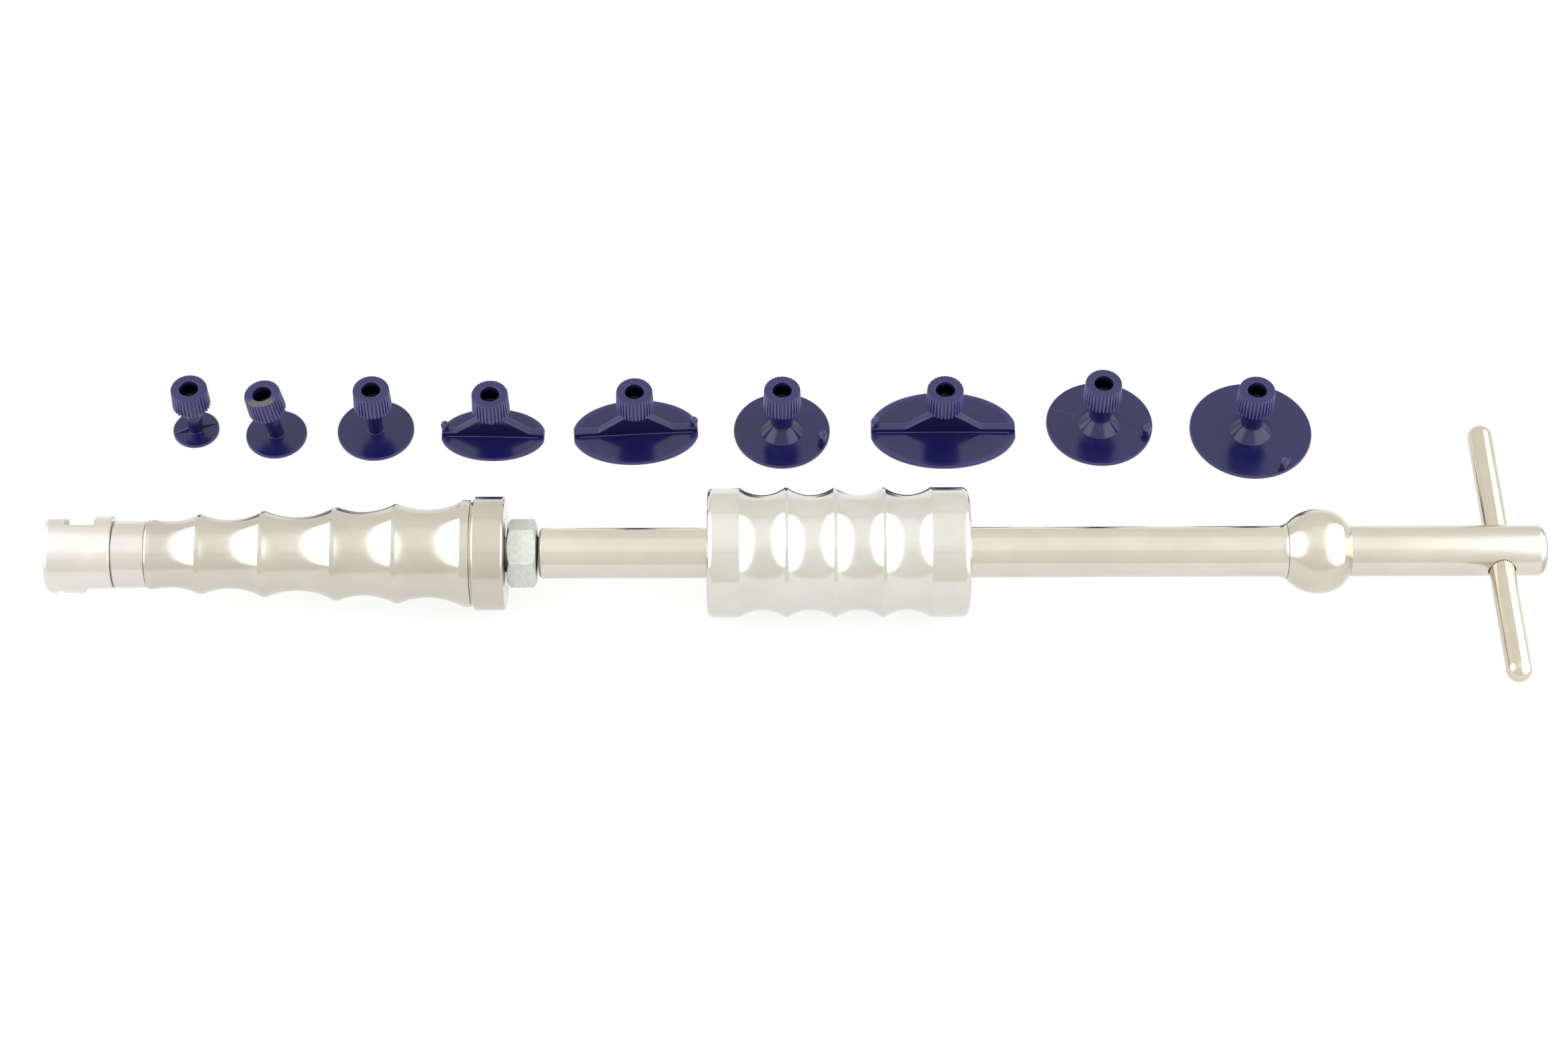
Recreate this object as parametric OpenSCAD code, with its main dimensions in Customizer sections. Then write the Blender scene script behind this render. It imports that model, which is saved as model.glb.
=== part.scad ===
// Slide hammer puller with a side-loading tab holder, and the nine glue tabs that it pulls with.
// The tool lies along X with its tab holder at low X, resting on its slide weight.
// The tabs stand on their pads in a row behind the tool, at high Y.
// Z is up from the surface that everything rests on, and the origin is the centre of the footprint.

/* [Shaft] */
// Diameter of the shaft that the weight slides on
shaft_d = 16; // [14:0.5:17]
// Length of the shaft from its front shoulder to its rear end
shaft_len = 315; // [300:1:360]
// Chamfer on the front shoulder of the shaft
shoulder_chamfer = 0.8; // [0.4:0.1:1.2]
// Chamfer on the rear end of the shaft
end_chamfer = 2.2; // [1:0.1:3]
// Diameter of the threaded stud on the front of the shaft
stud_d = 12; // [10:0.5:13]
// Length of stud that is screwed into the grip
stud_grip = 20; // [14:1:26]

/* [Slide weight] */
// Diameter over the ridges of the weight
weight_d = 40.8; // [38:0.2:44]
// Length of the weight
weight_len = 82; // [78:1:96]
// Distance from the front shoulder of the shaft to the weight where it rests
weight_rest = 52.5; // [20:0.5:80]
// Plain land at the front of the weight
weight_front_land = 9.7; // [6:0.1:12]
// Plain land at the rear of the weight
weight_rear_land = 11.6; // [8:0.1:14]
// Number of finger grooves round the weight
weight_grooves = 4; // [3:1:5]
// Depth of each finger groove
weight_groove_depth = 2.3; // [1.6:0.1:2.8]
// Width of the ridge left between two finger grooves
weight_ridge = 1; // [0.6:0.1:1.6]
// Radius of the weight's outer corners
weight_corner = 2.2; // [1:0.1:3]
// Chamfer at each mouth of the weight's bore
weight_mouth = 0.5; // [0.3:0.1:0.8]
// Radial play of the weight on the shaft
weight_play = 0.1; // [0.05:0.01:0.1]

/* [Stop ball] */
// Diameter of the stop ball
ball_d = 26.6; // [24:0.2:30]
// Distance from the rear end of the shaft to the centre of the ball
ball_inset = 71; // [60:0.5:90]
// Radius of the flare that runs from the shaft up to the ball
ball_flare = 4.5; // [3:0.1:6]
// Height of the turned shoulder in front of the ball
ball_shoulder = 0.8; // [0.4:0.05:1.2]
// Where the ball turns into a cone behind, as an angle from the shaft's axis
ball_back_start = 60; // [50:1:70]
// Slope of that cone against the shaft's axis
ball_back_slope = 48; // [40:1:60]

/* [Cross bar] */
// Diameter of the cross bar
bar_d = 8; // [6:0.5:10]
// Length of the cross bar over its round ends
bar_len = 100; // [80:1:130]
// Distance from the rear end of the shaft to the axis of the bar
bar_inset = 14.2; // [11:0.1:20]
// Extra diameter of the knurled band that holds the bar in the shaft
bar_knurl = 0.4; // [0.2:0.1:0.6]
// Length of knurl that shows outside the shaft at each side
bar_knurl_show = 0.5; // [0.2:0.1:1]
// Countersink at each mouth of the hole for the bar
bar_mouth = 0.5; // [0.2:0.1:0.8]

/* [Lock nut] */
// Size of the nut across its flats
nut_af = 19; // [18:0.5:22]
// Thickness of the nut
nut_len = 9; // [8:0.5:12]
// Gap between the strike collar and the nut
nut_front_gap = 0.7; // [0.5:0.1:2]
// Gap between the nut and the shoulder of the shaft
nut_rear_gap = 0.8; // [0.5:0.1:2]
// Radial play of the nut on the stud
nut_play = 0.05; // [0.02:0.01:0.1]
// Turn of the nut, from a corner at the front to the corner that shows
nut_turn = 33.7; // [0:0.1:60]

/* [Strike collar] */
// Outer diameter of the strike collar
collar_d = 35.8; // [34:0.2:40]
// Length of the strike collar
collar_len = 10; // [7:0.5:14]
// Diameter of the grip's spigot inside the strike collar
collar_seat_d = 24; // [20:0.5:27]
// Chamfer on the strike collar's edges
collar_edge = 0.6; // [0.3:0.1:1]

/* [Ribbed grip] */
// Length of the ribbed grip
grip_len = 102.2; // [95:0.2:120]
// Diameter over the first ridge, at the tab holder
grip_front_d = 22; // [20.4:0.2:24]
// Diameter over the last ridge, at the strike collar
grip_rear_d = 33.6; // [31:0.2:34]
// Depth of the deepest finger groove
grip_groove_depth = 2.55; // [1.6:0.05:2.8]
// Width of the crest of each ridge
grip_ridge = 1.2; // [0.8:0.1:1.8]
// Depth of the turned groove between the grip and the strike collar
grip_seam = 0.7; // [0.4:0.1:1]

/* [Neck ring] */
// Outer diameter of the neck ring
neck_d = 21; // [19:0.2:22]
// Length of the neck ring
neck_len = 10.3; // [7:0.1:14]
// Chamfer on the neck ring's edges
neck_edge = 0.5; // [0.3:0.1:0.8]

/* [Tab holder] */
// Outer diameter of the tab holder
holder_d = 24.2; // [23:0.2:28]
// Radius of the holder's nose corner
holder_nose = 1.6; // [0.8:0.1:2]
// Chamfer on the holder's rear edge
holder_edge = 0.5; // [0.3:0.1:0.8]
// Thickness of the lip in front of the tab's head
holder_lip = 5.6; // [4.5:0.1:7]
// Thickness of the wall behind the tab's head
holder_wall = 5.5; // [4:0.1:8]
// Room for the tab's head along the tool
head_room = 1.8; // [0.5:0.1:3]
// Width of the pocket that takes the tab's head
pocket_w = 15.4; // [14.4:0.1:16]
// Width of the slot that takes the tab's stem
slot_w = 9.3; // [8:0.1:10]
// Turn of the pocket's mouth, from straight up towards the back
pocket_turn = 51.6; // [0:0.1:90]
// Length of the flat under the holder
flat_len = 9.6; // [6:0.1:12]
// Depth of the flat under the holder
flat_depth = 1.5; // [0.8:0.1:2]
// Distance from the nose to the small notch under the lip
notch_start = 2.4; // [1.8:0.1:2.8]
// Length of the small notch
notch_len = 3; // [1.5:0.1:3.2]
// Depth of the small notch
notch_depth = 0.6; // [0.3:0.1:0.9]
// Diameter of the holder's threaded spigot
spigot_d = 10; // [8:0.5:12]
// Length of spigot that is screwed into the grip
spigot_grip = 12; // [8:1:16]

/* [Tab heads and stems] */
// Height of every tab from its glue face to the top of its head
tab_h = 21.4; // [20:0.1:24]
// Diameter of the head at its top
head_top_d = 11.9; // [11:0.1:12.4]
// Diameter over the head's ribs at its foot
head_foot_d = 12.5; // [12.1:0.1:13.4]
// Height of the head
head_h = 8; // [7:0.1:9.5]
// Number of ribs round the head
head_ribs = 32; // [24:1:36]
// Depth of the grooves between the ribs
rib_depth = 0.65; // [0.4:0.05:0.8]
// Bevel round the top of the head
head_edge = 0.3; // [0.1:0.05:0.4]
// Diameter of the blind hole in the head
head_hole_d = 6.2; // [5:0.1:7]
// Depth of the blind hole in the head
head_hole_depth = 5.8; // [4:0.1:6.5]
// Stem diameter of the small round tabs
stem_small_d = 5; // [4.4:0.1:6]
// Stem diameter of the flared and the oval tabs
stem_large_d = 6.8; // [6:0.1:7.4]

/* [Tab pads] */
// Thickness of every pad
pad_t = 1.2; // [0.9:0.1:1.6]
// Width of the bevel round the top of every pad
pad_bevel = 0.4; // [0.2:0.1:0.6]
// Diameter of the 15 mm round tab
round_15_d = 15.1; // [13:0.1:17]
// Diameter of the 20 mm round tab
round_20_d = 20; // [18:0.1:22]
// Diameter of the 25 mm round tab
round_25_d = 25.2; // [23:0.1:28]
// Diameter of the 32 mm round tab
round_32_d = 31.6; // [29:0.1:34]
// Diameter of the 35 mm round tab
round_35_d = 35; // [33:0.1:38]
// Diameter of the 40 mm round tab
round_40_d = 40; // [37:0.1:42]
// Length of the 34 mm oval tab
oval_34_len = 33.8; // [31:0.1:37]
// Length of the 41 mm oval tab
oval_41_len = 40.8; // [38:0.1:43]
// Length of the 48 mm oval tab
oval_48_len = 47.5; // [44:0.1:50]
// Base diameter of the flare under a large round tab's stem
flare_d = 14; // [11:0.1:15]
// Height of that flare
flare_h = 3.8; // [2.5:0.1:5]
// Radius of the fillet where a small tab's stem meets its pad
stem_fillet = 0.8; // [0.4:0.1:1.2]
// Thickness of the web along an oval tab
web_t = 2.8; // [2:0.1:3.2]
// Height of the web's low run above the pad
web_run_h = 1.7; // [1.2:0.1:2.4]
// Half the distance between the places where the web's low runs start to rise
web_knee = 12.3; // [11.5:0.1:13.5]
// Slope of the web up to the stem
web_slope = 38; // [34:1:40]
// Bevel on the web's top edges
web_bevel = 0.4; // [0.2:0.1:0.6]
// Thickness of the two thin fins on the smallest tab
fin_t = 0.6; // [0.5:0.1:1]
// Height of those fins at the stem
fin_h = 1.2; // [0.6:0.1:1.6]
// Diameter of the moulding gate's stub
nub_d = 2.4; // [1.8:0.1:2.8]
// Height of the moulding gate's stub above the pad
nub_h = 3.6; // [2.4:0.1:4.4]

/* [Tab row] */
// Distance from the tool's axis back to the row of tabs
tab_row = 65.8; // [58:0.1:90]
// Lean of the 20 mm round tab's bent stem, towards the nose of the tool
round_20_lean = 7.5; // [0:0.5:10]

/* [Hidden] */
$fn = 96;
// The weight's seam is turned to the top, clear of the line that it rests on
seam_turn = 180;
arc_steps = 12;

// Run past a surface that a cut opens through
overrun = 1;
// Radial room of every pressed or screwed seat
seat_room = 0.02;

// Ridges of the grip as shares of its length and of its growth in radius, and groove depths as
// shares of the deepest one
ridge_place_shares = [0.015, 0.163, 0.357, 0.577, 0.763, 0.972];
ridge_rise_shares = [0, 0.267, 0.44, 0.638, 0.81, 1];
groove_depth_shares = [0.47, 0.86, 1, 0.78, 0.94];

// Widths of the oval pads as shares of their lengths
oval_34_width_share = 0.64;
oval_41_width_share = 0.66;
oval_48_width_share = 0.675;
// How far the full ellipse of an oval pad would reach past its cut ends
oval_reach_share = 1.02;
oval_steps = 36;

// Places of the tabs as shares of the tool's length and of the row's distance
round_15_place_shares = [0.08, 1.027];
round_20_place_shares = [0.1368, 0.9946];
round_25_place_shares = [0.2064, 1.018];
oval_34_place_shares = [0.289, 0.9867];
oval_41_place_shares = [0.3892, 1];
round_32_place_shares = [0.4917, 1.0084];
oval_48_place_shares = [0.6049, 1.0084];
round_35_place_shares = [0.7151, 1.0466];
round_40_place_shares = [0.8209, 0.9993];

// Turns of the tabs about their stems
round_15_turn = 18;
oval_34_turn = -1.5;
oval_41_turn = 3.5;

// Stations along the tool, from the nose of the tab holder
holder_len = holder_lip + head_h + head_room + holder_wall;
grip_x = holder_len + neck_len;
collar_x = grip_x + grip_len;
nut_x = collar_x + collar_len + nut_front_gap;
shaft_x = nut_x + nut_len + nut_rear_gap;
weight_x = shaft_x + weight_rest;
tool_len = shaft_x + shaft_len;
ball_x = tool_len - ball_inset;
bar_x = tool_len - bar_inset;

// Footprint, which sets the origin
axis_z = weight_d / 2;
tab_back = max(round_35_place_shares[1] * tab_row + round_35_d / 2,
               round_40_place_shares[1] * tab_row + round_40_d / 2);
middle_x = tool_len / 2;
middle_y = (tab_back - bar_len / 2) / 2;

// Ball profile: the flare is tangent to the shaft and to the ball
ball_r = ball_d / 2;
shaft_r = shaft_d / 2;
flare_reach = sqrt(pow(ball_r + ball_flare, 2) - pow(shaft_r + ball_flare, 2));
flare_x = ball_x - flare_reach;
flare_sweep = acos((shaft_r + ball_flare) / (ball_r + ball_flare));
shoulder_sweep = acos((ball_flare - ball_shoulder) / ball_flare);
shoulder_x = flare_x + ball_flare * sin(shoulder_sweep);

// Heights on a tab: the head's underside, the web's low runs, and where its slope meets the stem
head_z = tab_h - head_h;
run_z = pad_t + web_run_h;
web_top = run_z + (web_knee - stem_large_d / 2) * tan(web_slope);

metal = [0.80, 0.78, 0.72];
plated = [0.72, 0.75, 0.71];
plastic = [0.20, 0.17, 0.42];

// Points of an arc about a centre, from one angle to another, as [along, out]
function arc(centre, radius, from, to, steps = arc_steps) =
    [for (i = [0 : steps])
        let (a = from + (to - from) * i / steps)
        centre + radius * [cos(a), sin(a)]];

// Hollow arc between two ridge points, sunk below the line that joins them
function groove(a, b, depth) =
    let (half = norm(b - a) / 2,
         radius = (half * half + depth * depth) / (2 * depth),
         sweep = asin(half / radius),
         along = (b - a) / norm(b - a),
         out = [-along[1], along[0]],
         centre = (a + b) / 2 + out * (radius - depth))
    [for (i = [0 : arc_steps])
        let (t = sweep * (2 * i / arc_steps - 1))
        centre + along * radius * sin(t) - out * radius * cos(t)];

// Turns an outline of [along, out] points round the X axis
module turned(outline) {
    rotate([0, 90, 0])
        rotate_extrude()
            polygon([for (p = outline) [p[1], p[0]]]);
}

// Round bar along X from one station to another
module bar_along(from, to, d) {
    translate([from, 0, 0])
        rotate([0, 90, 0])
            cylinder(d = d, h = to - from);
}

// Moves a piece of the tool from its own axis to its place on the table
module on_axis() {
    translate([-middle_x, -middle_y, axis_z])
        children();
}

// Outline of the shaft with its stud, its chamfered shoulder and the flare in front of the ball
function shaft_outline() =
    concat(
        [[collar_x + collar_len - stud_grip, 0],
         [collar_x + collar_len - stud_grip, stud_d / 2],
         [shaft_x, stud_d / 2],
         [shaft_x, shaft_r - shoulder_chamfer],
         [shaft_x + shoulder_chamfer, shaft_r]],
        arc([flare_x, shaft_r + ball_flare], ball_flare, -90, shoulder_sweep - 90),
        [[shoulder_x, shaft_r],
         [tool_len - end_chamfer, shaft_r],
         [tool_len, shaft_r - end_chamfer],
         [tool_len, 0]]);

module slide_shaft() {
    color(metal)
        on_axis()
            difference() {
                turned(shaft_outline());
                translate([bar_x, 0, 0])
                    rotate([90, 0, 0])
                        cylinder(d = bar_d + bar_knurl + 2 * seat_room, h = 2 * shaft_d,
                                 center = true);
                for (side = [-90, 90])
                    translate([bar_x, 0, 0])
                        rotate([side, 0, 0])
                            translate([0, 0, shaft_r - bar_mouth])
                                cylinder(d1 = bar_d + bar_knurl,
                                         d2 = bar_d + bar_knurl + 4 * bar_mouth,
                                         h = 2 * bar_mouth);
            }
}

// Outline of the ball's sleeve from the turned shoulder, over the ball, down the cone behind it
function ball_outline() =
    let (cone_top = ball_r * [cos(ball_back_start), sin(ball_back_start)],
         inner_r = shaft_r + seat_room)
    concat(
        [[shoulder_x, inner_r]],
        arc([flare_x, shaft_r + ball_flare], ball_flare, shoulder_sweep - 90, flare_sweep - 90),
        arc([ball_x, 0], ball_r, 90 + flare_sweep, ball_back_start, 2 * arc_steps),
        [[ball_x + cone_top[0] + (cone_top[1] - inner_r) / tan(ball_back_slope), inner_r]]);

module stop_ball() {
    color(metal)
        on_axis()
            turned(ball_outline());
}

module cross_bar() {
    color(metal)
        on_axis()
            translate([bar_x, 0, 0])
                rotate([90, 0, 0]) {
                    cylinder(d = bar_d, h = bar_len - bar_d, center = true);
                    cylinder(d = bar_d + bar_knurl, h = shaft_d + 2 * bar_knurl_show, center = true);
                    for (end = [-1, 1])
                        translate([0, 0, end * (bar_len - bar_d) / 2])
                            sphere(d = bar_d);
                }
}

// Outline of the weight: rounded ends, two plain lands and a row of finger grooves
function weight_outline() =
    let (r = weight_d / 2,
         first = weight_x + weight_front_land,
         pitch = (weight_len - weight_front_land - weight_rear_land) / weight_grooves)
    concat(
        [[weight_x, shaft_r]],
        arc([weight_x + weight_corner, r - weight_corner], weight_corner, 180, 90),
        [for (i = [0 : weight_grooves - 1])
            each groove([first + i * pitch + weight_ridge / 2, r],
                        [first + (i + 1) * pitch - weight_ridge / 2, r], weight_groove_depth)],
        arc([weight_x + weight_len - weight_corner, r - weight_corner], weight_corner, 90, 0),
        [[weight_x + weight_len, shaft_r]]);

module slide_weight() {
    bore_d = shaft_d + 2 * weight_play;
    color(metal)
        on_axis()
            difference() {
                rotate([seam_turn, 0, 0])
                    turned(weight_outline());
                bar_along(weight_x - overrun, weight_x + weight_len + overrun, bore_d);
                for (end = [0, 1])
                    translate([weight_x + weight_len / 2, 0, 0])
                        mirror([end, 0, 0])
                            translate([weight_len / 2 - weight_mouth, 0, 0])
                                rotate([0, 90, 0])
                                    cylinder(d1 = bore_d, d2 = bore_d + 4 * weight_mouth,
                                             h = 2 * weight_mouth);
            }
}

module lock_nut() {
    corner_d = nut_af / cos(30);
    chamfer = (corner_d - nut_af * 0.97) / 2;
    color(plated)
        on_axis()
            difference() {
                intersection() {
                    translate([nut_x, 0, 0])
                        rotate([90 - nut_turn, 0, 0])
                            rotate([0, 90, 0])
                                cylinder(d = corner_d, h = nut_len, $fn = 6);
                    turned([[nut_x, 0],
                            [nut_x, corner_d / 2 - chamfer],
                            [nut_x + chamfer / 2, corner_d / 2],
                            [nut_x + nut_len - chamfer / 2, corner_d / 2],
                            [nut_x + nut_len, corner_d / 2 - chamfer],
                            [nut_x + nut_len, 0]]);
                }
                bar_along(nut_x - overrun, nut_x + nut_len + overrun, stud_d + 2 * nut_play);
            }
}

module strike_collar() {
    color(metal)
        on_axis()
            difference() {
                turned([[collar_x, 0],
                        [collar_x, collar_d / 2 - collar_edge],
                        [collar_x + collar_edge, collar_d / 2],
                        [collar_x + collar_len - collar_edge, collar_d / 2],
                        [collar_x + collar_len, collar_d / 2 - collar_edge],
                        [collar_x + collar_len, 0]]);
                bar_along(collar_x - overrun, collar_x + collar_len + overrun,
                          collar_seat_d + 2 * seat_room);
            }
}

// Point on the crest of a ridge, on the side towards the collar (+1) or the nose (-1)
function crest(i, side) =
    let (front_r = grip_front_d / 2,
         rear_r = grip_rear_d / 2)
    [grip_x + ridge_place_shares[i] * grip_len + side * grip_ridge / 2,
     front_r + ridge_rise_shares[i] * (rear_r - front_r)];

// Outline of the grip: hollow finger grooves between ridges that grow towards the collar
function grip_outline() =
    concat(
        [[grip_x, 0],
         [grip_x, crest(0, -1)[1] - neck_edge]],
        [for (i = [0 : len(groove_depth_shares) - 1])
            each groove(crest(i, 1), crest(i + 1, -1), groove_depth_shares[i] * grip_groove_depth)],
        [[collar_x - grip_seam, grip_rear_d / 2],
         [collar_x - grip_seam, grip_rear_d / 2 - grip_seam],
         [collar_x, grip_rear_d / 2 - grip_seam],
         [collar_x, collar_seat_d / 2],
         [collar_x + collar_len, collar_seat_d / 2],
         [collar_x + collar_len, 0]]);

module ribbed_grip() {
    color(metal)
        on_axis()
            difference() {
                turned(grip_outline());
                bar_along(collar_x + collar_len - stud_grip - overrun,
                          collar_x + collar_len + overrun, stud_d + 2 * seat_room);
                bar_along(grip_x - overrun, grip_x + spigot_grip + overrun,
                          spigot_d + 2 * seat_room);
            }
}

module neck_ring() {
    color(metal)
        on_axis()
            difference() {
                turned([[holder_len, 0],
                        [holder_len, neck_d / 2 - neck_edge],
                        [holder_len + neck_edge, neck_d / 2],
                        [grip_x - neck_edge, neck_d / 2],
                        [grip_x, neck_d / 2 - neck_edge],
                        [grip_x, 0]]);
                bar_along(holder_len - overrun, grip_x + overrun, spigot_d + 2 * seat_room);
            }
}

// Slot open at the side of the holder, with a round floor on the tool's axis
module side_slot(from, to, width) {
    bar_along(from, to, width);
    translate([from, -width / 2, 0])
        cube([to - from, width, holder_d]);
}

// Block that cuts the underside of the holder down to a flat
module under_cut(from, to, depth) {
    translate([from, -holder_d / 2, -holder_d / 2 - overrun])
        cube([to - from, holder_d, overrun + depth]);
}

module tab_holder() {
    color(metal)
        on_axis()
            rotate([-pocket_turn, 0, 0])
                difference() {
                    turned(concat(
                        [[0, 0]],
                        arc([holder_nose, holder_d / 2 - holder_nose], holder_nose, 180, 90),
                        [[holder_len - holder_edge, holder_d / 2],
                         [holder_len, holder_d / 2 - holder_edge],
                         [holder_len, spigot_d / 2],
                         [grip_x + spigot_grip, spigot_d / 2],
                         [grip_x + spigot_grip, 0]]));
                    side_slot(-overrun, holder_lip + overrun, slot_w);
                    side_slot(holder_lip, holder_len - holder_wall, pocket_w);
                    under_cut(holder_len - flat_len, holder_len, flat_depth);
                    under_cut(notch_start, notch_start + notch_len, notch_depth);
                }
}

// Moves a tab to its place in the row and turns it about its stem
module in_row(place_shares, turn) {
    translate([place_shares[0] * tool_len - middle_x, place_shares[1] * tab_row - middle_y, 0])
        rotate(turn)
            children();
}

// Outline of the ribbed head, with a flat crest and a flat root for each rib
function rib_outline(tip_r) =
    [for (i = [0 : 4 * head_ribs - 1])
        let (a = 90 * i / head_ribs,
             r = i % 4 < 2 ? tip_r : tip_r - rib_depth)
        r * [cos(a), sin(a)]];

// Ribbed head; the ribs run out towards its bevelled top, where the head is narrower
module head() {
    foot_r = head_foot_d / 2;
    top_r = head_top_d / 2;
    translate([0, 0, head_z])
        intersection() {
            linear_extrude(head_h)
                polygon(rib_outline(foot_r));
            rotate_extrude()
                polygon([[0, 0], [foot_r, 0], [top_r, head_h - head_edge],
                         [top_r - head_edge, head_h], [0, head_h]]);
        }
}

module head_hole() {
    translate([0, 0, tab_h - head_hole_depth])
        cylinder(d = head_hole_d, h = head_hole_depth + overrun);
}

module round_pad(d) {
    cylinder(d = d, h = pad_t - pad_bevel);
    translate([0, 0, pad_t - pad_bevel])
        cylinder(d1 = d, d2 = d - 2 * pad_bevel, h = pad_bevel);
}

// Ellipse with its two ends cut square, drawn in by a margin all round
module cut_ellipse(length, width, margin) {
    a = oval_reach_share * length / 2 - margin;
    b = width / 2 - margin;
    end = acos((length / 2 - margin) / a);
    side = [for (i = [0 : oval_steps])
               let (t = end + (180 - 2 * end) * i / oval_steps)
               [a * cos(t), b * sin(t)]];
    polygon(concat(side, [for (p = side) -p]));
}

module oval_pad(length, width) {
    linear_extrude(pad_t - pad_bevel)
        cut_ellipse(length, width, 0);
    linear_extrude(pad_t)
        cut_ellipse(length, width, pad_bevel);
}

// Web from end to end of an oval pad, rising in a slope to the stem
module web(length, thickness, drop) {
    reach = length / 2 - pad_bevel;
    top = stem_large_d / 2;
    rotate([90, 0, 0])
        linear_extrude(thickness, center = true)
            polygon([[-reach, 0], [reach, 0], [reach, run_z - drop], [web_knee, run_z - drop],
                     [top, web_top - drop], [-top, web_top - drop], [-web_knee, run_z - drop],
                     [-reach, run_z - drop]]);
}

// Stub left by the moulding gate, waisted below its cap
module gate_nub(x, y) {
    translate([x, y, 0]) {
        cylinder(d = nub_d * 0.8, h = pad_t + nub_h);
        translate([0, 0, pad_t + nub_h / 2])
            cylinder(d = nub_d, h = nub_h / 2);
    }
}

// Small round tab, with its stem and head leaning over as if bent where the stem meets the pad
module small_tab(d, lean = 0) {
    round_pad(d);
    translate([0, 0, pad_t])
        cylinder(d1 = stem_small_d + 2 * stem_fillet, d2 = stem_small_d, h = stem_fillet);
    translate([0, 0, pad_t / 2])
        rotate([0, -lean, 0])
            translate([0, 0, -pad_t / 2])
                difference() {
                    union() {
                        head();
                        translate([0, 0, pad_t / 2])
                            cylinder(d = stem_small_d, h = head_z - pad_t / 2);
                    }
                    head_hole();
                }
}

module flared_tab(d, nub_angle) {
    nub_r = d / 2 - pad_bevel - nub_d / 2;
    difference() {
        union() {
            head();
            cylinder(d = stem_large_d, h = head_z);
            round_pad(d);
            translate([0, 0, pad_t])
                cylinder(d1 = flare_d, d2 = stem_large_d, h = flare_h);
            gate_nub(nub_r * cos(nub_angle), nub_r * sin(nub_angle));
        }
        head_hole();
    }
}

module oval_tab(length, width, nub_side) {
    stem_z = min(web_top, head_z - pad_t);
    difference() {
        union() {
            head();
            translate([0, 0, stem_z])
                cylinder(d = stem_large_d, h = head_z - stem_z);
            oval_pad(length, width);
            web(length, web_t - 2 * web_bevel, 0);
            web(length, web_t, web_bevel);
            gate_nub(nub_side * (length / 2 - nub_d), web_t / 2);
        }
        head_hole();
    }
}

// Two thin fins that fall from the smallest tab's stem to the rim of its pad
module fins(d) {
    reach = d / 2 - pad_bevel / 2;
    foot = stem_small_d / 2;
    low = pad_t - pad_bevel;
    rotate([90, 0, 0])
        linear_extrude(fin_t, center = true)
            polygon([[-reach, low], [reach, low], [foot, pad_t + fin_h], [-foot, pad_t + fin_h]]);
}

module tab_round_15() {
    color(plastic)
        in_row(round_15_place_shares, round_15_turn) {
            small_tab(round_15_d);
            fins(round_15_d);
        }
}

module tab_round_20() {
    color(plastic)
        in_row(round_20_place_shares, 0)
            small_tab(round_20_d, round_20_lean);
}

module tab_round_25() {
    color(plastic)
        in_row(round_25_place_shares, 0)
            small_tab(round_25_d);
}

module tab_oval_34() {
    color(plastic)
        in_row(oval_34_place_shares, oval_34_turn)
            oval_tab(oval_34_len, oval_34_width_share * oval_34_len, -1);
}

module tab_oval_41() {
    color(plastic)
        in_row(oval_41_place_shares, oval_41_turn)
            oval_tab(oval_41_len, oval_41_width_share * oval_41_len, 1);
}

module tab_round_32() {
    color(plastic)
        in_row(round_32_place_shares, 0)
            flared_tab(round_32_d, -25);
}

module tab_oval_48() {
    color(plastic)
        in_row(oval_48_place_shares, 0)
            oval_tab(oval_48_len, oval_48_width_share * oval_48_len, -1);
}

module tab_round_35() {
    color(plastic)
        in_row(round_35_place_shares, 0)
            flared_tab(round_35_d, -25);
}

module tab_round_40() {
    color(plastic)
        in_row(round_40_place_shares, 0)
            flared_tab(round_40_d, -59);
}

slide_shaft();
stop_ball();
cross_bar();
slide_weight();
lock_nut();
strike_collar();
ribbed_grip();
neck_ring();
tab_holder();
tab_round_15();
tab_round_20();
tab_round_25();
tab_oval_34();
tab_oval_41();
tab_round_32();
tab_oval_48();
tab_round_35();
tab_round_40();
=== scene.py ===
# Slide hammer puller and its nine glue tabs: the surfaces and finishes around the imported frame
import math
import random

import bmesh
import bpy
from mathutils import Matrix, Vector


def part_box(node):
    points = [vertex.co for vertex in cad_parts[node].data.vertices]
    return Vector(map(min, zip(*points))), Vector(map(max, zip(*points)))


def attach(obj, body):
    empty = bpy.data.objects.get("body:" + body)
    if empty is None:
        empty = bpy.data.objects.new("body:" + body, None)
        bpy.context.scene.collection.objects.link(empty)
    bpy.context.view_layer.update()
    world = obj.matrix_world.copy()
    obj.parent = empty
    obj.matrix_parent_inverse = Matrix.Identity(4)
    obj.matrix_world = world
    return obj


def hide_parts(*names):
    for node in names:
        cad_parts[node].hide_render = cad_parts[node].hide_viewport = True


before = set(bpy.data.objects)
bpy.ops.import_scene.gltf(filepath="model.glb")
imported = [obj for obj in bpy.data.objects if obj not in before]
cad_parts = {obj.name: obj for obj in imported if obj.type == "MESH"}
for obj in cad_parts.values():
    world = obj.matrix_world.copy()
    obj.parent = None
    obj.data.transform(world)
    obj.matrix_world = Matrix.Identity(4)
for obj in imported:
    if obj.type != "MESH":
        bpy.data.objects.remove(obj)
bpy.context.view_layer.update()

# Units: outlines are written in millimetres
MM = 0.001

# Photograph's frame and the camera that took it
IMAGE_W = 2350
FOCAL_PX = 5300
CENTRE_PX = 1120
CAMERA_PITCH = 51.6
CAMERA_ROLL = -0.16
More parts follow.
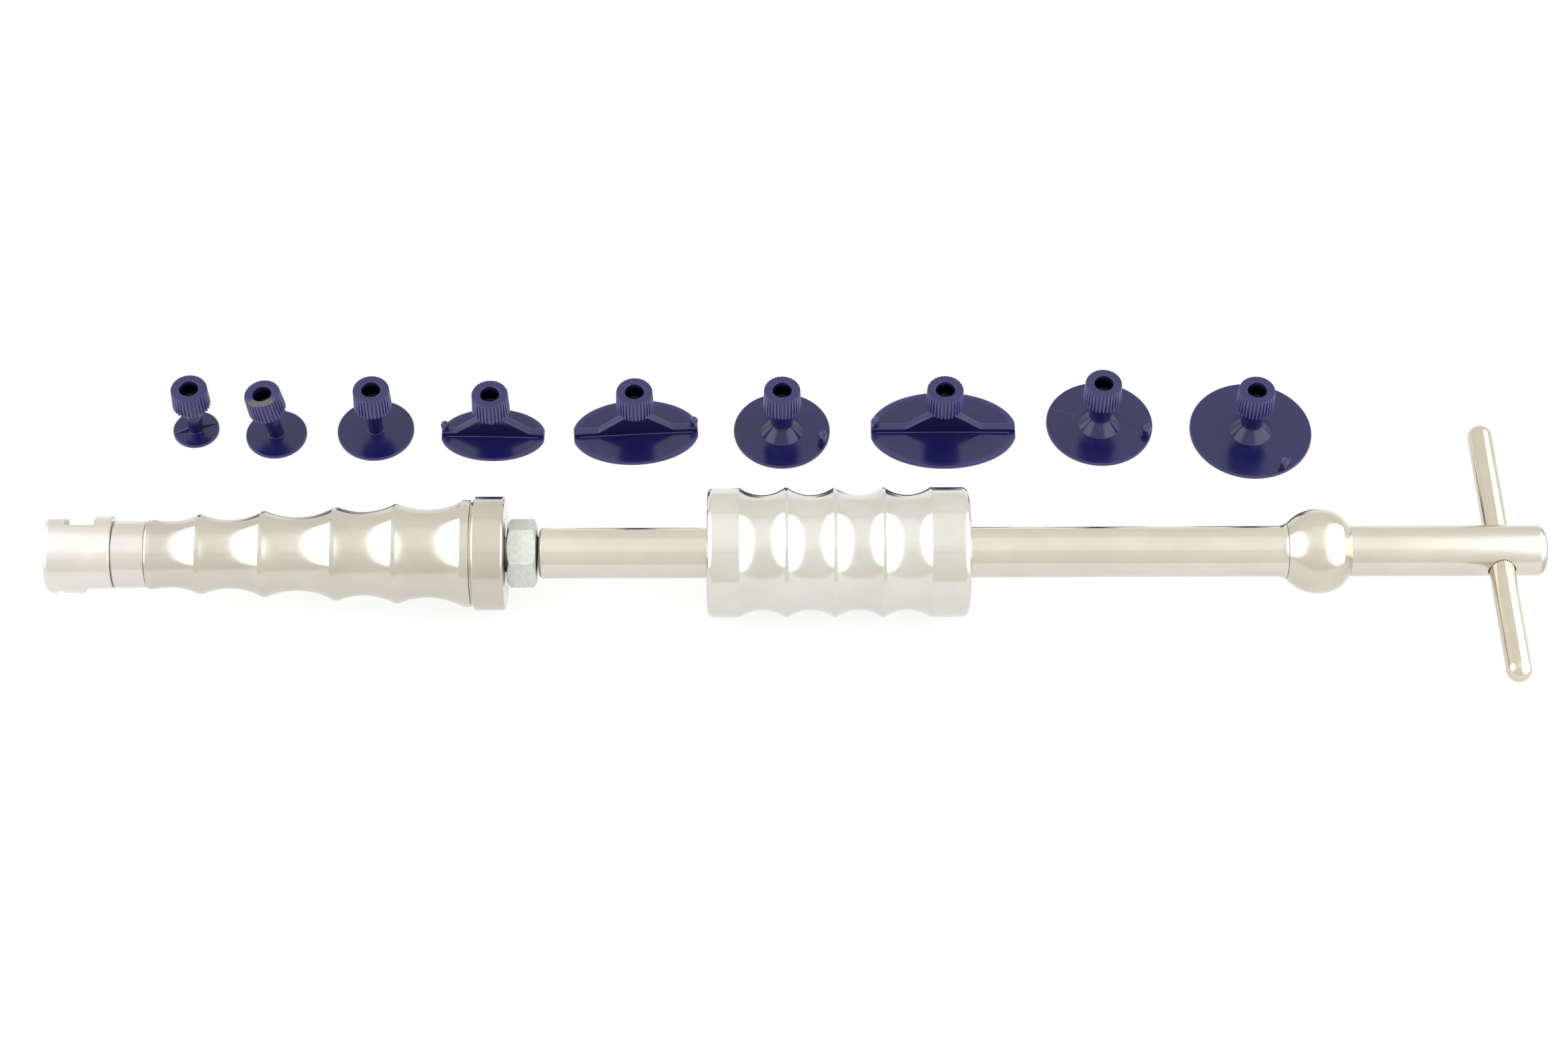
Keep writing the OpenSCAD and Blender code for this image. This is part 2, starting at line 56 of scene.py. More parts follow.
# Camera's place: along the tool from its nose, across from its axis, and up from the table
CAMERA_ALONG, CAMERA_ACROSS, CAMERA_UP = 0.2191, -0.6814, 0.8951
SENSOR_W = 36.0

# Smoothness of round things, and the reach of the points that hold a long straight flat
TURNED_SEGMENTS = 192
BAR_SEGMENTS = 96
HOLE_SEGMENTS = 128
GROOVE_STEPS = 24
CORNER_STEPS = 4
ROUND_STEPS = 10
SUPPORT = 0.3

# Most of a straight's length that an eased corner may take
EASED_SHARE = 0.48
# Radius in millimetres below which a ring is a single point
POLE_R = 1e-6
# Distance in metres at which points merge
MERGE = 1e-7

# The tool's axis, read off the weight
weight_low, weight_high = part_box("slide_weight")
AXIS_Y = (weight_low.y + weight_high.y) / 2
AXIS_Z = weight_high.z - (weight_high.y - weight_low.y) / 2


def node_span(node):
    """Front end, rear end and largest radius of a turned node, in metres."""
    low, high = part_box(node)
    return low.x, high.x, (high.y - low.y) / 2


# Outlines: lists of (along, out) points in millimetres

def arc(centre, radius, start, end, steps=CORNER_STEPS):
    """Points of an arc about a centre, with its angles in degrees."""
    turns = [math.radians(start + (end - start) * i / steps) for i in range(steps + 1)]
    return [(centre[0] + radius * math.cos(t), centre[1] + radius * math.sin(t)) for t in turns]


def full_turn(count):
    """Evenly spaced angles of a full turn, in radians."""
    return [2 * math.pi * i / count for i in range(count)]


def groove(a, b, depth, steps=GROOVE_STEPS):
    """Hollow arc between two ridge points, sunk below the line that joins them."""
    a, b = Vector(a), Vector(b)
    half = (b - a).length / 2
    radius = (half * half + depth * depth) / (2 * depth)
    sweep = math.asin(half / radius)
    along = (b - a).normalized()
    out = Vector((-along.y, along.x))
    centre = (a + b) / 2 + out * (radius - depth)
    turns = [sweep * (2 * i / steps - 1) for i in range(steps + 1)]
    return [tuple(centre + along * radius * math.sin(t) - out * radius * math.cos(t)) for t in turns]


def turn_angle(a, b, c):
    """Angle in degrees by which a path turns at b."""
    before, after = Vector(b) - Vector(a), Vector(c) - Vector(b)
    return math.degrees(before.angle(after, 0.0))


def eased(points, radius, sharpest=14.0, steps=CORNER_STEPS):
    """Rounds each sharp corner of an open outline, cutting it back by at most the radius."""
    done = [points[0]]
    for a, b, c in zip(points, points[1:], points[2:]):
        if turn_angle(a, b, c) < sharpest:
            done.append(b)
            continue
        a, b, c = Vector(a), Vector(b), Vector(c)
        cut = min(radius, (b - a).length * EASED_SHARE, (c - b).length * EASED_SHARE)
        start, end = b + (a - b).normalized() * cut, b + (c - b).normalized() * cut
        for i in range(steps + 1):
            t = i / steps
            done.append(tuple(start * (1 - t) ** 2 + b * 2 * t * (1 - t) + end * t ** 2))
    done.append(points[-1])
    return done


def supported(points, margin=SUPPORT):
    """Adds a point near each end of every long straight, so that its shading stays flat."""
    done = [points[0]]
    for a, b in zip(points, points[1:]):
        a, b = Vector(a), Vector(b)
        if (b - a).length > 4 * margin:
            step = (b - a).normalized() * margin
            done += [tuple(a + step), tuple(b - step)]
        done.append(tuple(b))
    return done


# Meshes

def finish_mesh(name, mesh_bm, sharp=34.0):
    """Makes a smooth-shaded object with its edges sharp past an angle."""
    bmesh.ops.remove_doubles(mesh_bm, verts=mesh_bm.verts, dist=MERGE)
    bmesh.ops.recalc_face_normals(mesh_bm, faces=mesh_bm.faces)
    mesh = bpy.data.meshes.new(name)
    mesh_bm.to_mesh(mesh)
    mesh_bm.free()
    mesh.shade_smooth()
    mesh.set_sharp_from_angle(angle=math.radians(sharp))
    obj = bpy.data.objects.new(name, mesh)
    bpy.context.scene.collection.objects.link(obj)
    return obj


def skin(rings, mesh_bm, closed_loop=False):
    """Joins rings of points, where a ring of one point is a pole."""
    made = [[mesh_bm.verts.new(p) for p in ring] for ring in rings]
    pairs = list(zip(made, made[1:]))
    if closed_loop:
        pairs.append((made[-1], made[0]))
    for low, high in pairs:
        count = max(len(low), len(high))
        for i in range(count):
            j = (i + 1) % count
            if len(low) == 1:
                mesh_bm.faces.new((low[0], high[i], high[j]))
            elif len(high) == 1:
                mesh_bm.faces.new((low[i], high[0], low[j]))
            else:
                mesh_bm.faces.new((low[i], high[i], high[j], low[j]))
    return made


def lathe(name, outline, origin_x, segments=TURNED_SEGMENTS, hollow=False):
    """Turns an outline round the tool's axis. A hollow outline is closed into a ring."""
    mesh_bm = bmesh.new()
    rings = []
    for along, out in outline:
        x = origin_x + along * MM
        if out < POLE_R:
            rings.append([(x, AXIS_Y, AXIS_Z)])
            continue
        rings.append([(x, AXIS_Y + out * MM * math.cos(t), AXIS_Z + out * MM * math.sin(t))
                      for t in full_turn(segments)])
    skin(rings, mesh_bm, closed_loop=hollow)
    return finish_mesh(name, mesh_bm)


def apply_modifiers(obj):
    """Turns the modified shape into the object's own mesh."""
    graph = bpy.context.evaluated_depsgraph_get()
    shaped = bpy.data.meshes.new_from_object(obj.evaluated_get(graph))
    old = obj.data
    obj.modifiers.clear()
    obj.data = shaped
    bpy.data.meshes.remove(old)


def boolean(obj, other, operation):
    """Joins, cuts or intersects obj with another object, which is used up."""
    step = obj.modifiers.new("boolean", "BOOLEAN")
    step.operation = operation
    step.solver = "MANIFOLD"
    step.object = other
    apply_modifiers(obj)
    bpy.data.objects.remove(other)


def soften_edges(obj, width, angle=30.0, segments=2):
    """Bevels the edges that are sharper than an angle, and keeps the flats flat."""
    step = obj.modifiers.new("bevel", "BEVEL")
    step.width = width * MM
    step.segments = segments
    step.limit_method = "ANGLE"
    step.angle_limit = math.radians(angle)
    step.harden_normals = True
    step.use_clamp_overlap = True
    apply_modifiers(obj)


def rod(name, start, end, radius, segments=BAR_SEGMENTS, taper=None):
    """Round bar between two points in metres, with its radius in millimetres."""
    start, end = Vector(start), Vector(end)
    along = (end - start).normalized()
    side = along.orthogonal().normalized()
    other = along.cross(side)
    end_radius = radius if taper is None else taper
    rings = [[start]]
    for centre, r in ((start, radius), (end, end_radius)):
        rings.append([centre + (side * math.cos(t) + other * math.sin(t)) * r * MM
                      for t in full_turn(segments)])
    rings.append([end])
    mesh_bm = bmesh.new()
    skin(rings, mesh_bm)
    return finish_mesh(name, mesh_bm)


def block(name, low, high):
    """Box between two corners in metres."""
    low, high = Vector(low), Vector(high)
    mesh_bm = bmesh.new()
    bmesh.ops.create_cube(mesh_bm, size=1.0)
    for v in mesh_bm.verts:
        v.co = (low + high) / 2 + Vector(v.co[i] * (high - low)[i] for i in range(3))
    return finish_mesh(name, mesh_bm)


# Materials

def shader_tree(name):
    """A new material with its node tree and its principled shader."""
    mat = bpy.data.materials.new(name)
    mat.use_nodes = True
    return mat, mat.node_tree, mat.node_tree.nodes["Principled BSDF"]


def add_node(tree, kind, **settings):
    """A node with its settings; a setting named like an input sets that input."""
    made = tree.nodes.new(kind)
    for key, value in settings.items():
        if key in made.inputs:
            made.inputs[key].default_value = value
        else:
            setattr(made, key, value)
    return made


def set_inputs(node, **values):
    """Sets inputs of a node. An underscore stands for a space in an input's name."""
    for key, value in values.items():
        node.inputs[key.replace("_", " ")].default_value = value


def stretched_noise(tree, scale, detail=3.0, roughness=0.5):
    """Noise over the piece's own coordinates, with a scale along each axis."""
    place = add_node(tree, "ShaderNodeTexCoord")
    mapping = add_node(tree, "ShaderNodeMapping", Scale=scale)
    noise = add_node(tree, "ShaderNodeTexNoise", Scale=1.0, Detail=detail, Roughness=roughness)
    tree.links.new(place.outputs["Object"], mapping.inputs["Vector"])
    tree.links.new(mapping.outputs["Vector"], noise.inputs["Vector"])
    return noise.outputs["Fac"]


def remap(tree, value, low, high, from_low=0.0, from_high=1.0):
    """Maps a value from one range to another, clamped."""
    made = add_node(tree, "ShaderNodeMapRange")
    set_inputs(made, From_Min=from_low, From_Max=from_high, To_Min=low, To_Max=high)
    tree.links.new(value, made.inputs["Value"])
    return made.outputs["Result"]


def mixed_colour(tree, factor, first, second):
    """Mix of two colours by a factor."""
    made = add_node(tree, "ShaderNodeMix", data_type="RGBA")
    tree.links.new(factor, made.inputs["Factor"])
    for socket, colour in ((made.inputs[6], first), (made.inputs[7], second)):
        if isinstance(colour, tuple):
            socket.default_value = (*colour, 1.0)
        else:
            tree.links.new(colour, socket)
    return made.outputs[2]


def bumped(tree, shader, heights):
    """Chains bumps of (height, distance in millimetres) into the shader's normal."""
    last = None
    for height, distance in heights:
        made = add_node(tree, "ShaderNodeBump", Strength=1.0, Distance=distance * MM)
        tree.links.new(height, made.inputs["Height"])
        if last is not None:
            tree.links.new(last, made.inputs["Normal"])
        last = made.outputs["Normal"]
    tree.links.new(last, shader.inputs["Normal"])


# Scales of the noises in waves per metre. A pair is along the axis of a plating and across it
CLOUDS, PATCHES, GRAIN = (60, 90, 90), (120, 300, 300), (1300, 1300, 1300)
WAVES, MARKS, RINGS = (40.0, 150.0), (9000.0, 60.0), (1400.0, 12.0)
ZINC_PATCHES, ZINC_SPECKLE = (750, 750, 750), (1800, 1800, 1800)
PLASTIC_CLOUDS, PLASTIC_GRIT, PLASTIC_SMEAR = (180, 180, 180), (900, 900, 900), (400, 400, 400)
PLASTIC_MARKS, PLASTIC_FLOW = (2200, 2200, 2200), (130, 130, 130)
# Part of a noise's range that a mix uses in full
NARROW, MIDDLE, WIDE = (0.38, 0.62), (0.35, 0.65), (0.3, 0.7)
# Quarter turn of the smear, so that it runs along the axis
ALONG_AXIS = 0.25
# Share of a plating's roughness in its smoothest and roughest patches
SMOOTHEST_SHARE, ROUGHEST_SHARE = 0.85, 1.2


def plated_metal(name, tint, roughness, marks, waves, rings=0.0, grain=0.0, smear=0.8, along="X"):
    """Plated turned metal: it reflects softly along the axis and sharply round it, with fine turning
    marks, wider rings, soft waves and a faint cloudy tint."""
    mat, tree, shader = shader_tree(name)
    axis = "XYZ".index(along)
    set_inputs(shader, Metallic=1.0, Anisotropic=smear, Anisotropic_Rotation=ALONG_AXIS)
    light, dark = tint
    cloud = stretched_noise(tree, CLOUDS, detail=4.0)
    colour = mixed_colour(tree, remap(tree, cloud, 0.0, 1.0, *MIDDLE), dark, light)
    tree.links.new(colour, shader.inputs["Base Color"])
    patches = stretched_noise(tree, PATCHES, detail=5.0, roughness=0.6)
    rough = remap(tree, patches, roughness * SMOOTHEST_SHARE, roughness * ROUGHEST_SHARE, *WIDE)
    tree.links.new(rough, shader.inputs["Roughness"])
    tangent = add_node(tree, "ShaderNodeTangent", direction_type="RADIAL", axis=along)
    tree.links.new(tangent.outputs["Tangent"], shader.inputs["Tangent"])

    def banded(scales, detail):
        scale = [scales[1]] * 3
        scale[axis] = scales[0]
        return stretched_noise(tree, tuple(scale), detail=detail)

    heights = [(banded(WAVES, 2.0), waves), (banded(MARKS, 2.0), marks)]
    if rings:
        heights.append((banded(RINGS, 3.0), rings))
    if grain:
        heights.append((stretched_noise(tree, GRAIN, detail=2.0), grain))
    bumped(tree, shader, heights)
    return mat


# Colours of the metals, lightest and darkest. The plating differs a little from piece to piece; the end
# tint is a darker copy of the shaft's, as painted shade on its rear chamfer
SHAFT_TINT = ((0.650, 0.615, 0.535), (0.605, 0.570, 0.490))
WEIGHT_TINT = ((0.665, 0.655, 0.600), (0.622, 0.610, 0.550))
GRIP_TINT = ((0.580, 0.552, 0.480), (0.540, 0.510, 0.436))
COLLAR_TINT = ((0.560, 0.532, 0.462), (0.520, 0.490, 0.420))
BALL_TINT = ((0.605, 0.570, 0.480), (0.565, 0.528, 0.438))
BAR_TINT = ((0.620, 0.570, 0.465), (0.575, 0.520, 0.410))
END_PAINTED_SHADE_TINT = ((0.470, 0.425, 0.380), (0.430, 0.385, 0.340))
HOLDER_TINT = ((0.690, 0.666, 0.608), (0.660, 0.636, 0.578))
NECK_TINT = ((0.660, 0.634, 0.574), (0.630, 0.604, 0.544))
ZINC_TINT = ((0.660, 0.665, 0.605), (0.560, 0.590, 0.540))
# Roughness from the smoothest to the roughest places, and how much brighter the plastic's clouds are
ZINC_ROUGHNESS = (0.34, 0.62)
PLASTIC_ROUGHNESS = (0.16, 0.24)
HOLLOW_ROUGHNESS = 0.05
PLASTIC_IOR = 1.50
CLOUD_GAIN = 1.22
# Depths in millimetres of the zinc's patches and speckle, and of the plastic's flow and marks
ZINC_BUMPS, PLASTIC_BUMPS = (0.02, 0.012), (0.03, 0.003)


def make_zinc():
    """Dull zinc plate, mottled from pale green to pale straw."""
    mat, tree, shader = shader_tree("zinc")
    set_inputs(shader, Metallic=1.0)
    straw, green = ZINC_TINT
    patches = stretched_noise(tree, ZINC_PATCHES, detail=5.0, roughness=0.65)
    colour = mixed_colour(tree, remap(tree, patches, 0.0, 1.0, *NARROW), green, straw)
    tree.links.new(colour, shader.inputs["Base Color"])
    speckle = stretched_noise(tree, ZINC_SPECKLE, detail=4.0, roughness=0.6)
    tree.links.new(remap(tree, speckle, *ZINC_ROUGHNESS, *WIDE), shader.inputs["Roughness"])
    bumped(tree, shader, zip((patches, speckle), ZINC_BUMPS))
    return mat


# Plastic of the tabs: body, a pale colour for painted glow and highlights and for pale scratches, painted
# shade down in the holes and on the webs, and dust
PLASTIC_DEEP = (0.0055, 0.0060, 0.0520)
PLASTIC_PALE_AND_PAINTED_LIGHT = (0.0700, 0.0630, 0.2200)
PLASTIC_PAINTED_SHADE = (0.0006, 0.0006, 0.0040)
PLASTIC_DUST = (0.0950, 0.0900, 0.0780)
# How much of the dust shows, least and most, and the part of the grit's range in which it grows
DUST_SHOWN, DUST_RANGE = (0.55, 1.0), (0.35, 0.6)


def make_plastic():
    """Moulded blue-violet plastic: painted glow and highlights where it is pale, painted shade that makes
    it nearly black in its hollows.
    """
    mat, tree, shader = shader_tree("tab_plastic")
    tone, shade, dust = (add_node(tree, "ShaderNodeAttribute", attribute_name=name).outputs["Fac"]
                         for name in ("tone", "shade", "dust"))
    cloud = stretched_noise(tree, PLASTIC_CLOUDS, detail=4.0)
    body = mixed_colour(tree, remap(tree, cloud, 0.0, 1.0, *WIDE),
                        PLASTIC_DEEP, tuple(c * CLOUD_GAIN for c in PLASTIC_DEEP))
    grit = remap(tree, stretched_noise(tree, PLASTIC_GRIT, detail=5.0), *DUST_SHOWN, *DUST_RANGE)
    patch = add_node(tree, "ShaderNodeMath", operation="MULTIPLY")
    tree.links.new(dust, patch.inputs[0])
    tree.links.new(grit, patch.inputs[1])
    # Tone mixes in the pale colour (painted glow and highlights, and pale scratches); shade mixes in
    # painted shade
    colour = mixed_colour(tree, tone, body, PLASTIC_PALE_AND_PAINTED_LIGHT)
    colour = mixed_colour(tree, patch.outputs["Value"], colour, PLASTIC_DUST)
    tree.links.new(mixed_colour(tree, shade, colour, PLASTIC_PAINTED_SHADE), shader.inputs["Base Color"])
    rough = add_node(tree, "ShaderNodeMath", operation="MULTIPLY_ADD")
    rough.inputs[1].default_value = HOLLOW_ROUGHNESS
    tree.links.new(shade, rough.inputs[0])
    smear = stretched_noise(tree, PLASTIC_SMEAR, detail=4.0)
    tree.links.new(remap(tree, smear, *PLASTIC_ROUGHNESS, *WIDE), rough.inputs[2])
    tree.links.new(rough.outputs["Value"], shader.inputs["Roughness"])
    set_inputs(shader, IOR=PLASTIC_IOR)
    skin_marks = stretched_noise(tree, PLASTIC_MARKS, detail=3.0)
    flow = stretched_noise(tree, PLASTIC_FLOW, detail=2.0)
    bumped(tree, shader, zip((flow, skin_marks), PLASTIC_BUMPS))
    return mat


# Turned pieces of the tool

def seat(obj, body, material, slot, *nodes):
    """Gives a piece its material, its body and the CAD nodes that it stands for."""
    obj.data.materials.clear()
    obj.data.materials.append(material)
    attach(obj, body)
    if nodes:
        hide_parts(*nodes)
    return obj


# Metals: tint, roughness, and how deep the turning marks, waves, rings and grain are in millimetres
nickel = plated_metal("nickel", SHAFT_TINT, 0.13, 0.0022, 0.010, rings=0.002)
weight_nickel = plated_metal("weight_nickel", WEIGHT_TINT, 0.17, 0.0030, 0.010, rings=0.004)
grip_nickel = plated_metal("grip_nickel", GRIP_TINT, 0.19, 0.0040, 0.012, rings=0.009)
collar_nickel = plated_metal("collar_nickel", COLLAR_TINT, 0.16, 0.0030, 0.010, rings=0.003)
ball_nickel = plated_metal("ball_nickel", BALL_TINT, 0.21, 0.0030, 0.020, grain=0.006)
holder_nickel = plated_metal("holder_nickel", HOLDER_TINT, 0.24, 0.0010, 0.002, smear=0.4)
neck_nickel = plated_metal("neck_nickel", NECK_TINT, 0.22, 0.0010, 0.002, smear=0.4)
bar_nickel = plated_metal("bar_nickel", BAR_TINT, 0.12, 0.0018, 0.012, along="Y")
# Darker, rougher copy of the shaft's nickel for its rear chamfer: painted shade
end_painted_shade_nickel = plated_metal("end_painted_shade_nickel", END_PAINTED_SHADE_TINT, 0.30, 0.0030, 0.002, smear=0.4)
zinc = make_zinc()

shaft_rear = node_span("slide_shaft")[1]
collar_front, collar_rear, collar_radius = node_span("strike_collar")
nut_front, nut_rear, _ = node_span("lock_nut")
neck_front, neck_rear, neck_radius = node_span("neck_ring")
weight_front, weight_rear, weight_radius = node_span("slide_weight")
ball_front, _, ball_radius = node_span("stop_ball")
bar_low, bar_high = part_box("cross_bar")

# Sizes that the boxes don't hold, in millimetres, with angles in degrees
SHAFT_R = 8.0
STUD_R = 5.95
STUD_ROOT_R = 5.1
STUD_PITCH = 1.75
STUD_STEPS = 48
# Section of the thread: share of the pitch and radius
THREAD = ((0.0, STUD_ROOT_R), (0.125, STUD_ROOT_R), (0.4375, STUD_R), (0.5625, STUD_R),
          (0.875, STUD_ROOT_R))
SHOULDER_GAP = 0.8
SHOULDER_CHAMFER = 0.8
END_CHAMFER = 2.2
END_BREAK, END_BREAK_SHARE = 0.7, 0.42
COLLAR_EDGE, COLLAR_BORE = 0.6, 12.02
NECK_EDGE, NECK_BORE = 0.3, 5.02
BALL_INSET = 71.0
BALL_FLARE = 4.5
BALL_SHOULDER = 0.8
BALL_BACK_START = 60
BALL_BACK_SLOPE = 48
BAR_R = 4.0
BAR_MIDDLE = 9.2
BAR_KNURL_R = 4.2
KNURL_TEETH, KNURL_DEPTH, KNURL_HALF = 36, 0.35, 7.8
KNURL_END, KNURL_TAPER = 0.3, 0.25
HOLE_ROOM = 0.02
MOUTH_IN, MOUTH_OUT = 0.3, 1.1
NUT_AF = 19.0
NUT_TURN = 33.7
NUT_BORE = 6.05
NUT_FACE_SHARE = 0.97
HOLDER_TURN = 51.6
# How far the corners of each turned piece are eased
WEIGHT_EASE, GRIP_EASE, RING_EASE, BALL_EASE, SHAFT_EASE, HOLDER_EASE = 0.2, 0.28, 0.12, 0.3, 0.25, 0.12
NUT_SOFTENED, HOLDER_SOFTENED = 0.22, 0.16

ball_x = shaft_rear - BALL_INSET * MM
bar_x = (bar_low.x + bar_high.x) / 2


def build_weight():
    """Weight with rounded ends, two plain lands, four finger grooves and a bore."""
    length = (weight_rear - weight_front) / MM
    r = weight_radius / MM
    front_land, rear_land, count, depth, ridge, corner = 9.7, 11.6, 4, 2.3, 1.0, 2.2
    bore, mouth = 8.1, 0.5
    pitch = (length - front_land - rear_land) / count
    points = [(0, bore + 2 * mouth)]
    points += arc((corner, r - corner), corner, 180, 90, ROUND_STEPS)
    for i in range(count):
        start = front_land + i * pitch + ridge / 2
        points += groove((start, r), (start + pitch - ridge, r), depth)
    points += arc((length - corner, r - corner), corner, 90, 0, ROUND_STEPS)
    points += [(length, bore + 2 * mouth), (length - 2 * mouth, bore), (2 * mouth, bore)]
    points.append(points[0])
    outline = supported(eased(points, WEIGHT_EASE))[:-1]
    obj = lathe("slide_weight_turned", outline, weight_front, hollow=True)
    return seat(obj, "weight", weight_nickel, "nickel", "slide_weight")


# Grip's ridges as shares of its length and of its growth in radius, and its grooves' depths as shares
RIDGE_PLACE_SHARES = (0.015, 0.163, 0.357, 0.577, 0.763, 0.972)
RIDGE_RISE_SHARES = (0, 0.267, 0.44, 0.638, 0.81, 1)
GROOVE_DEPTH_SHARES = (0.47, 0.86, 1, 0.78, 0.94)


def build_grip():
    """Tapering grip with its ridges and grooves, and the seam and seat for the collar."""
    length = (collar_front - neck_rear) / MM
    first_r, last_r, depth, ridge, seam, edge = 11.0, 16.8, 2.55, 1.2, 0.7, 0.5
    seat_r = 12.0

    def crest(i, side):
        return (RIDGE_PLACE_SHARES[i] * length + side * ridge / 2,
                first_r + RIDGE_RISE_SHARES[i] * (last_r - first_r))

    nose_r = crest(0, -1)[1]
    points = [(0, 0), (0, nose_r - edge), (edge, nose_r)]
    for i, share in enumerate(GROOVE_DEPTH_SHARES):
        points += groove(crest(i, 1), crest(i + 1, -1), share * depth)
    end = (collar_rear - neck_rear) / MM
    points += [(length - seam, last_r), (length - seam, last_r - seam), (length, last_r - seam),
               (length, seat_r), (end, seat_r), (end, 0)]
    obj = lathe("ribbed_grip_turned", supported(eased(points, GRIP_EASE)), neck_rear)
    return seat(obj, "tool", grip_nickel, "nickel", "ribbed_grip")


def build_ring(name, node, front, rear, radius, edge, bore, material, slot):
    """Plain collar with chamfered edges and a bore."""
    length = (rear - front) / MM
    r = radius / MM
    points = [(0, bore), (0, r - edge), (edge, r), (length - edge, r), (length, r - edge),
              (length, bore), (0, bore)]
    outline = supported(eased(points, RING_EASE))[:-1]
    obj = lathe(name, outline, front, hollow=True)
    return seat(obj, "tool", material, slot, node)


def build_ball():
    """Ball with its flare and turned seam in front, and the cone that it ends in behind."""
    centre_x = (ball_x - ball_front) / MM
    r = ball_radius / MM
    flare = BALL_FLARE
    reach = math.sqrt((r + flare) ** 2 - (SHAFT_R + flare) ** 2)
    sweep = math.degrees(math.acos((SHAFT_R + flare) / (r + flare)))
    shoulder_sweep = math.degrees(math.acos((flare - BALL_SHOULDER) / flare))
    start, slope = math.radians(BALL_BACK_START), math.radians(BALL_BACK_SLOPE)
    cone = (centre_x + r * math.cos(start), r * math.sin(start))
    tip = (cone[0] + (cone[1] - SHAFT_R) / math.tan(slope), SHAFT_R)
    points = [(0, SHAFT_R - 1), (0, SHAFT_R + BALL_SHOULDER * 0.35)]
    points += arc((centre_x - reach, SHAFT_R + flare), flare, shoulder_sweep - 88, sweep - 90,
                  ROUND_STEPS)
    points += arc((centre_x, 0), r, 90 + sweep, BALL_BACK_START, 48)[1:]
    points += [tip, (tip[0], SHAFT_R - 1)]
    obj = lathe("stop_ball_turned", eased(points, BALL_EASE, sharpest=12.0), ball_front, hollow=True)
    return seat(obj, "tool", ball_nickel, "nickel", "stop_ball")


def build_shaft():
    """Shaft with its rounded shoulder, the flare in front of the ball and the hole for the bar."""
    start = nut_rear + SHOULDER_GAP * MM
    length = (shaft_rear - start) / MM
    flare_x = (ball_x - start) / MM - math.sqrt((ball_radius / MM + BALL_FLARE) ** 2
                                                - (SHAFT_R + BALL_FLARE) ** 2)
    shoulder_sweep = math.degrees(math.acos((BALL_FLARE - BALL_SHOULDER) / BALL_FLARE))
    flare = arc((flare_x, SHAFT_R + BALL_FLARE), BALL_FLARE, -90, shoulder_sweep - 90, 8)
    body = [(0, 0), (0, SHAFT_R - SHOULDER_CHAMFER), (SHOULDER_CHAMFER, SHAFT_R)]
    body += flare
    body += [(flare[-1][0], SHAFT_R), (length - END_CHAMFER, SHAFT_R),
             (length - END_BREAK, SHAFT_R - END_CHAMFER * END_BREAK_SHARE),
             (length, SHAFT_R - END_CHAMFER), (length, 0)]
    obj = lathe("slide_shaft_turned", supported(eased(body, SHAFT_EASE)), start)
    reach = 2 * SHAFT_R * MM
    hole = rod("hole", (bar_x, AXIS_Y - reach, AXIS_Z), (bar_x, AXIS_Y + reach, AXIS_Z),
               BAR_KNURL_R + HOLE_ROOM)
    boolean(obj, hole, "DIFFERENCE")
    for side in (-1, 1):
        inner = (bar_x, AXIS_Y + side * (SHAFT_R - 1.0) * MM, AXIS_Z)
        outer = (bar_x, AXIS_Y + side * (SHAFT_R + 1.0) * MM, AXIS_Z)
        boolean(obj, rod("mouth", inner, outer, BAR_R - MOUTH_IN, taper=BAR_R + MOUTH_OUT), "DIFFERENCE")
    obj.data.shade_smooth()
    obj.data.set_sharp_from_angle(angle=math.radians(30))
    seat(obj, "tool", nickel, "nickel", "slide_shaft")
    # The rear chamfer takes the darker copy of the nickel: painted shade
    obj.data.materials.append(end_painted_shade_nickel)
    for face in obj.data.polygons:
        if face.center.x > shaft_rear - (END_CHAMFER - 0.1) * MM:
            face.material_index = 1
    return obj


def build_stud():
    """Threaded stud that shows in the gaps on both sides of the lock nut."""
    start, end = collar_rear - 2 * MM, nut_rear + SHOULDER_GAP * MM
    turns = (end - start) / (STUD_PITCH * MM)
    count = int(turns * STUD_STEPS)
    mesh_bm = bmesh.new()
    rows = []
    for i in range(count + 1):
        t = 2 * math.pi * i / STUD_STEPS
        row = []
        for share, r in THREAD:
            x = start + (i / STUD_STEPS + share - 1) * STUD_PITCH * MM
            x = min(max(x, start), end)
            row.append(mesh_bm.verts.new((x, AXIS_Y + r * MM * math.cos(t),
                                          AXIS_Z + r * MM * math.sin(t))))
        rows.append(row)
    for a, b in zip(rows, rows[1:]):
        for j in range(len(THREAD) - 1):
            mesh_bm.faces.new((a[j], a[j + 1], b[j + 1], b[j]))
    for i in range(count - STUD_STEPS):
        mesh_bm.faces.new((rows[i][-1], rows[i + STUD_STEPS][0], rows[i + 1 + STUD_STEPS][0],
                           rows[i + 1][-1]))
    obj = finish_mesh("stud_thread", mesh_bm, sharp=50.0)
    return seat(obj, "tool", zinc, "nickel")


def lathe_across(name, outline, segments, tooth=0.0, sharp=34.0):
    """Turns an outline round the cross bar's axis. A tooth sinks every second pair of points."""
    middle = (bar_low.y + bar_high.y) / 2
    rings = []
    for along, out in outline:
        y = middle + along * MM
        if out < POLE_R:
            rings.append([(bar_x, y, AXIS_Z)])
            continue
        ring = []
        for i, t in enumerate(full_turn(segments)):
            r = out - (tooth if i % 4 > 1 else 0.0)
            ring.append((bar_x + r * MM * math.cos(t), y, AXIS_Z + r * MM * math.sin(t)))
        rings.append(ring)
    mesh_bm = bmesh.new()
    skin(rings, mesh_bm)
    return finish_mesh(name, mesh_bm, sharp)


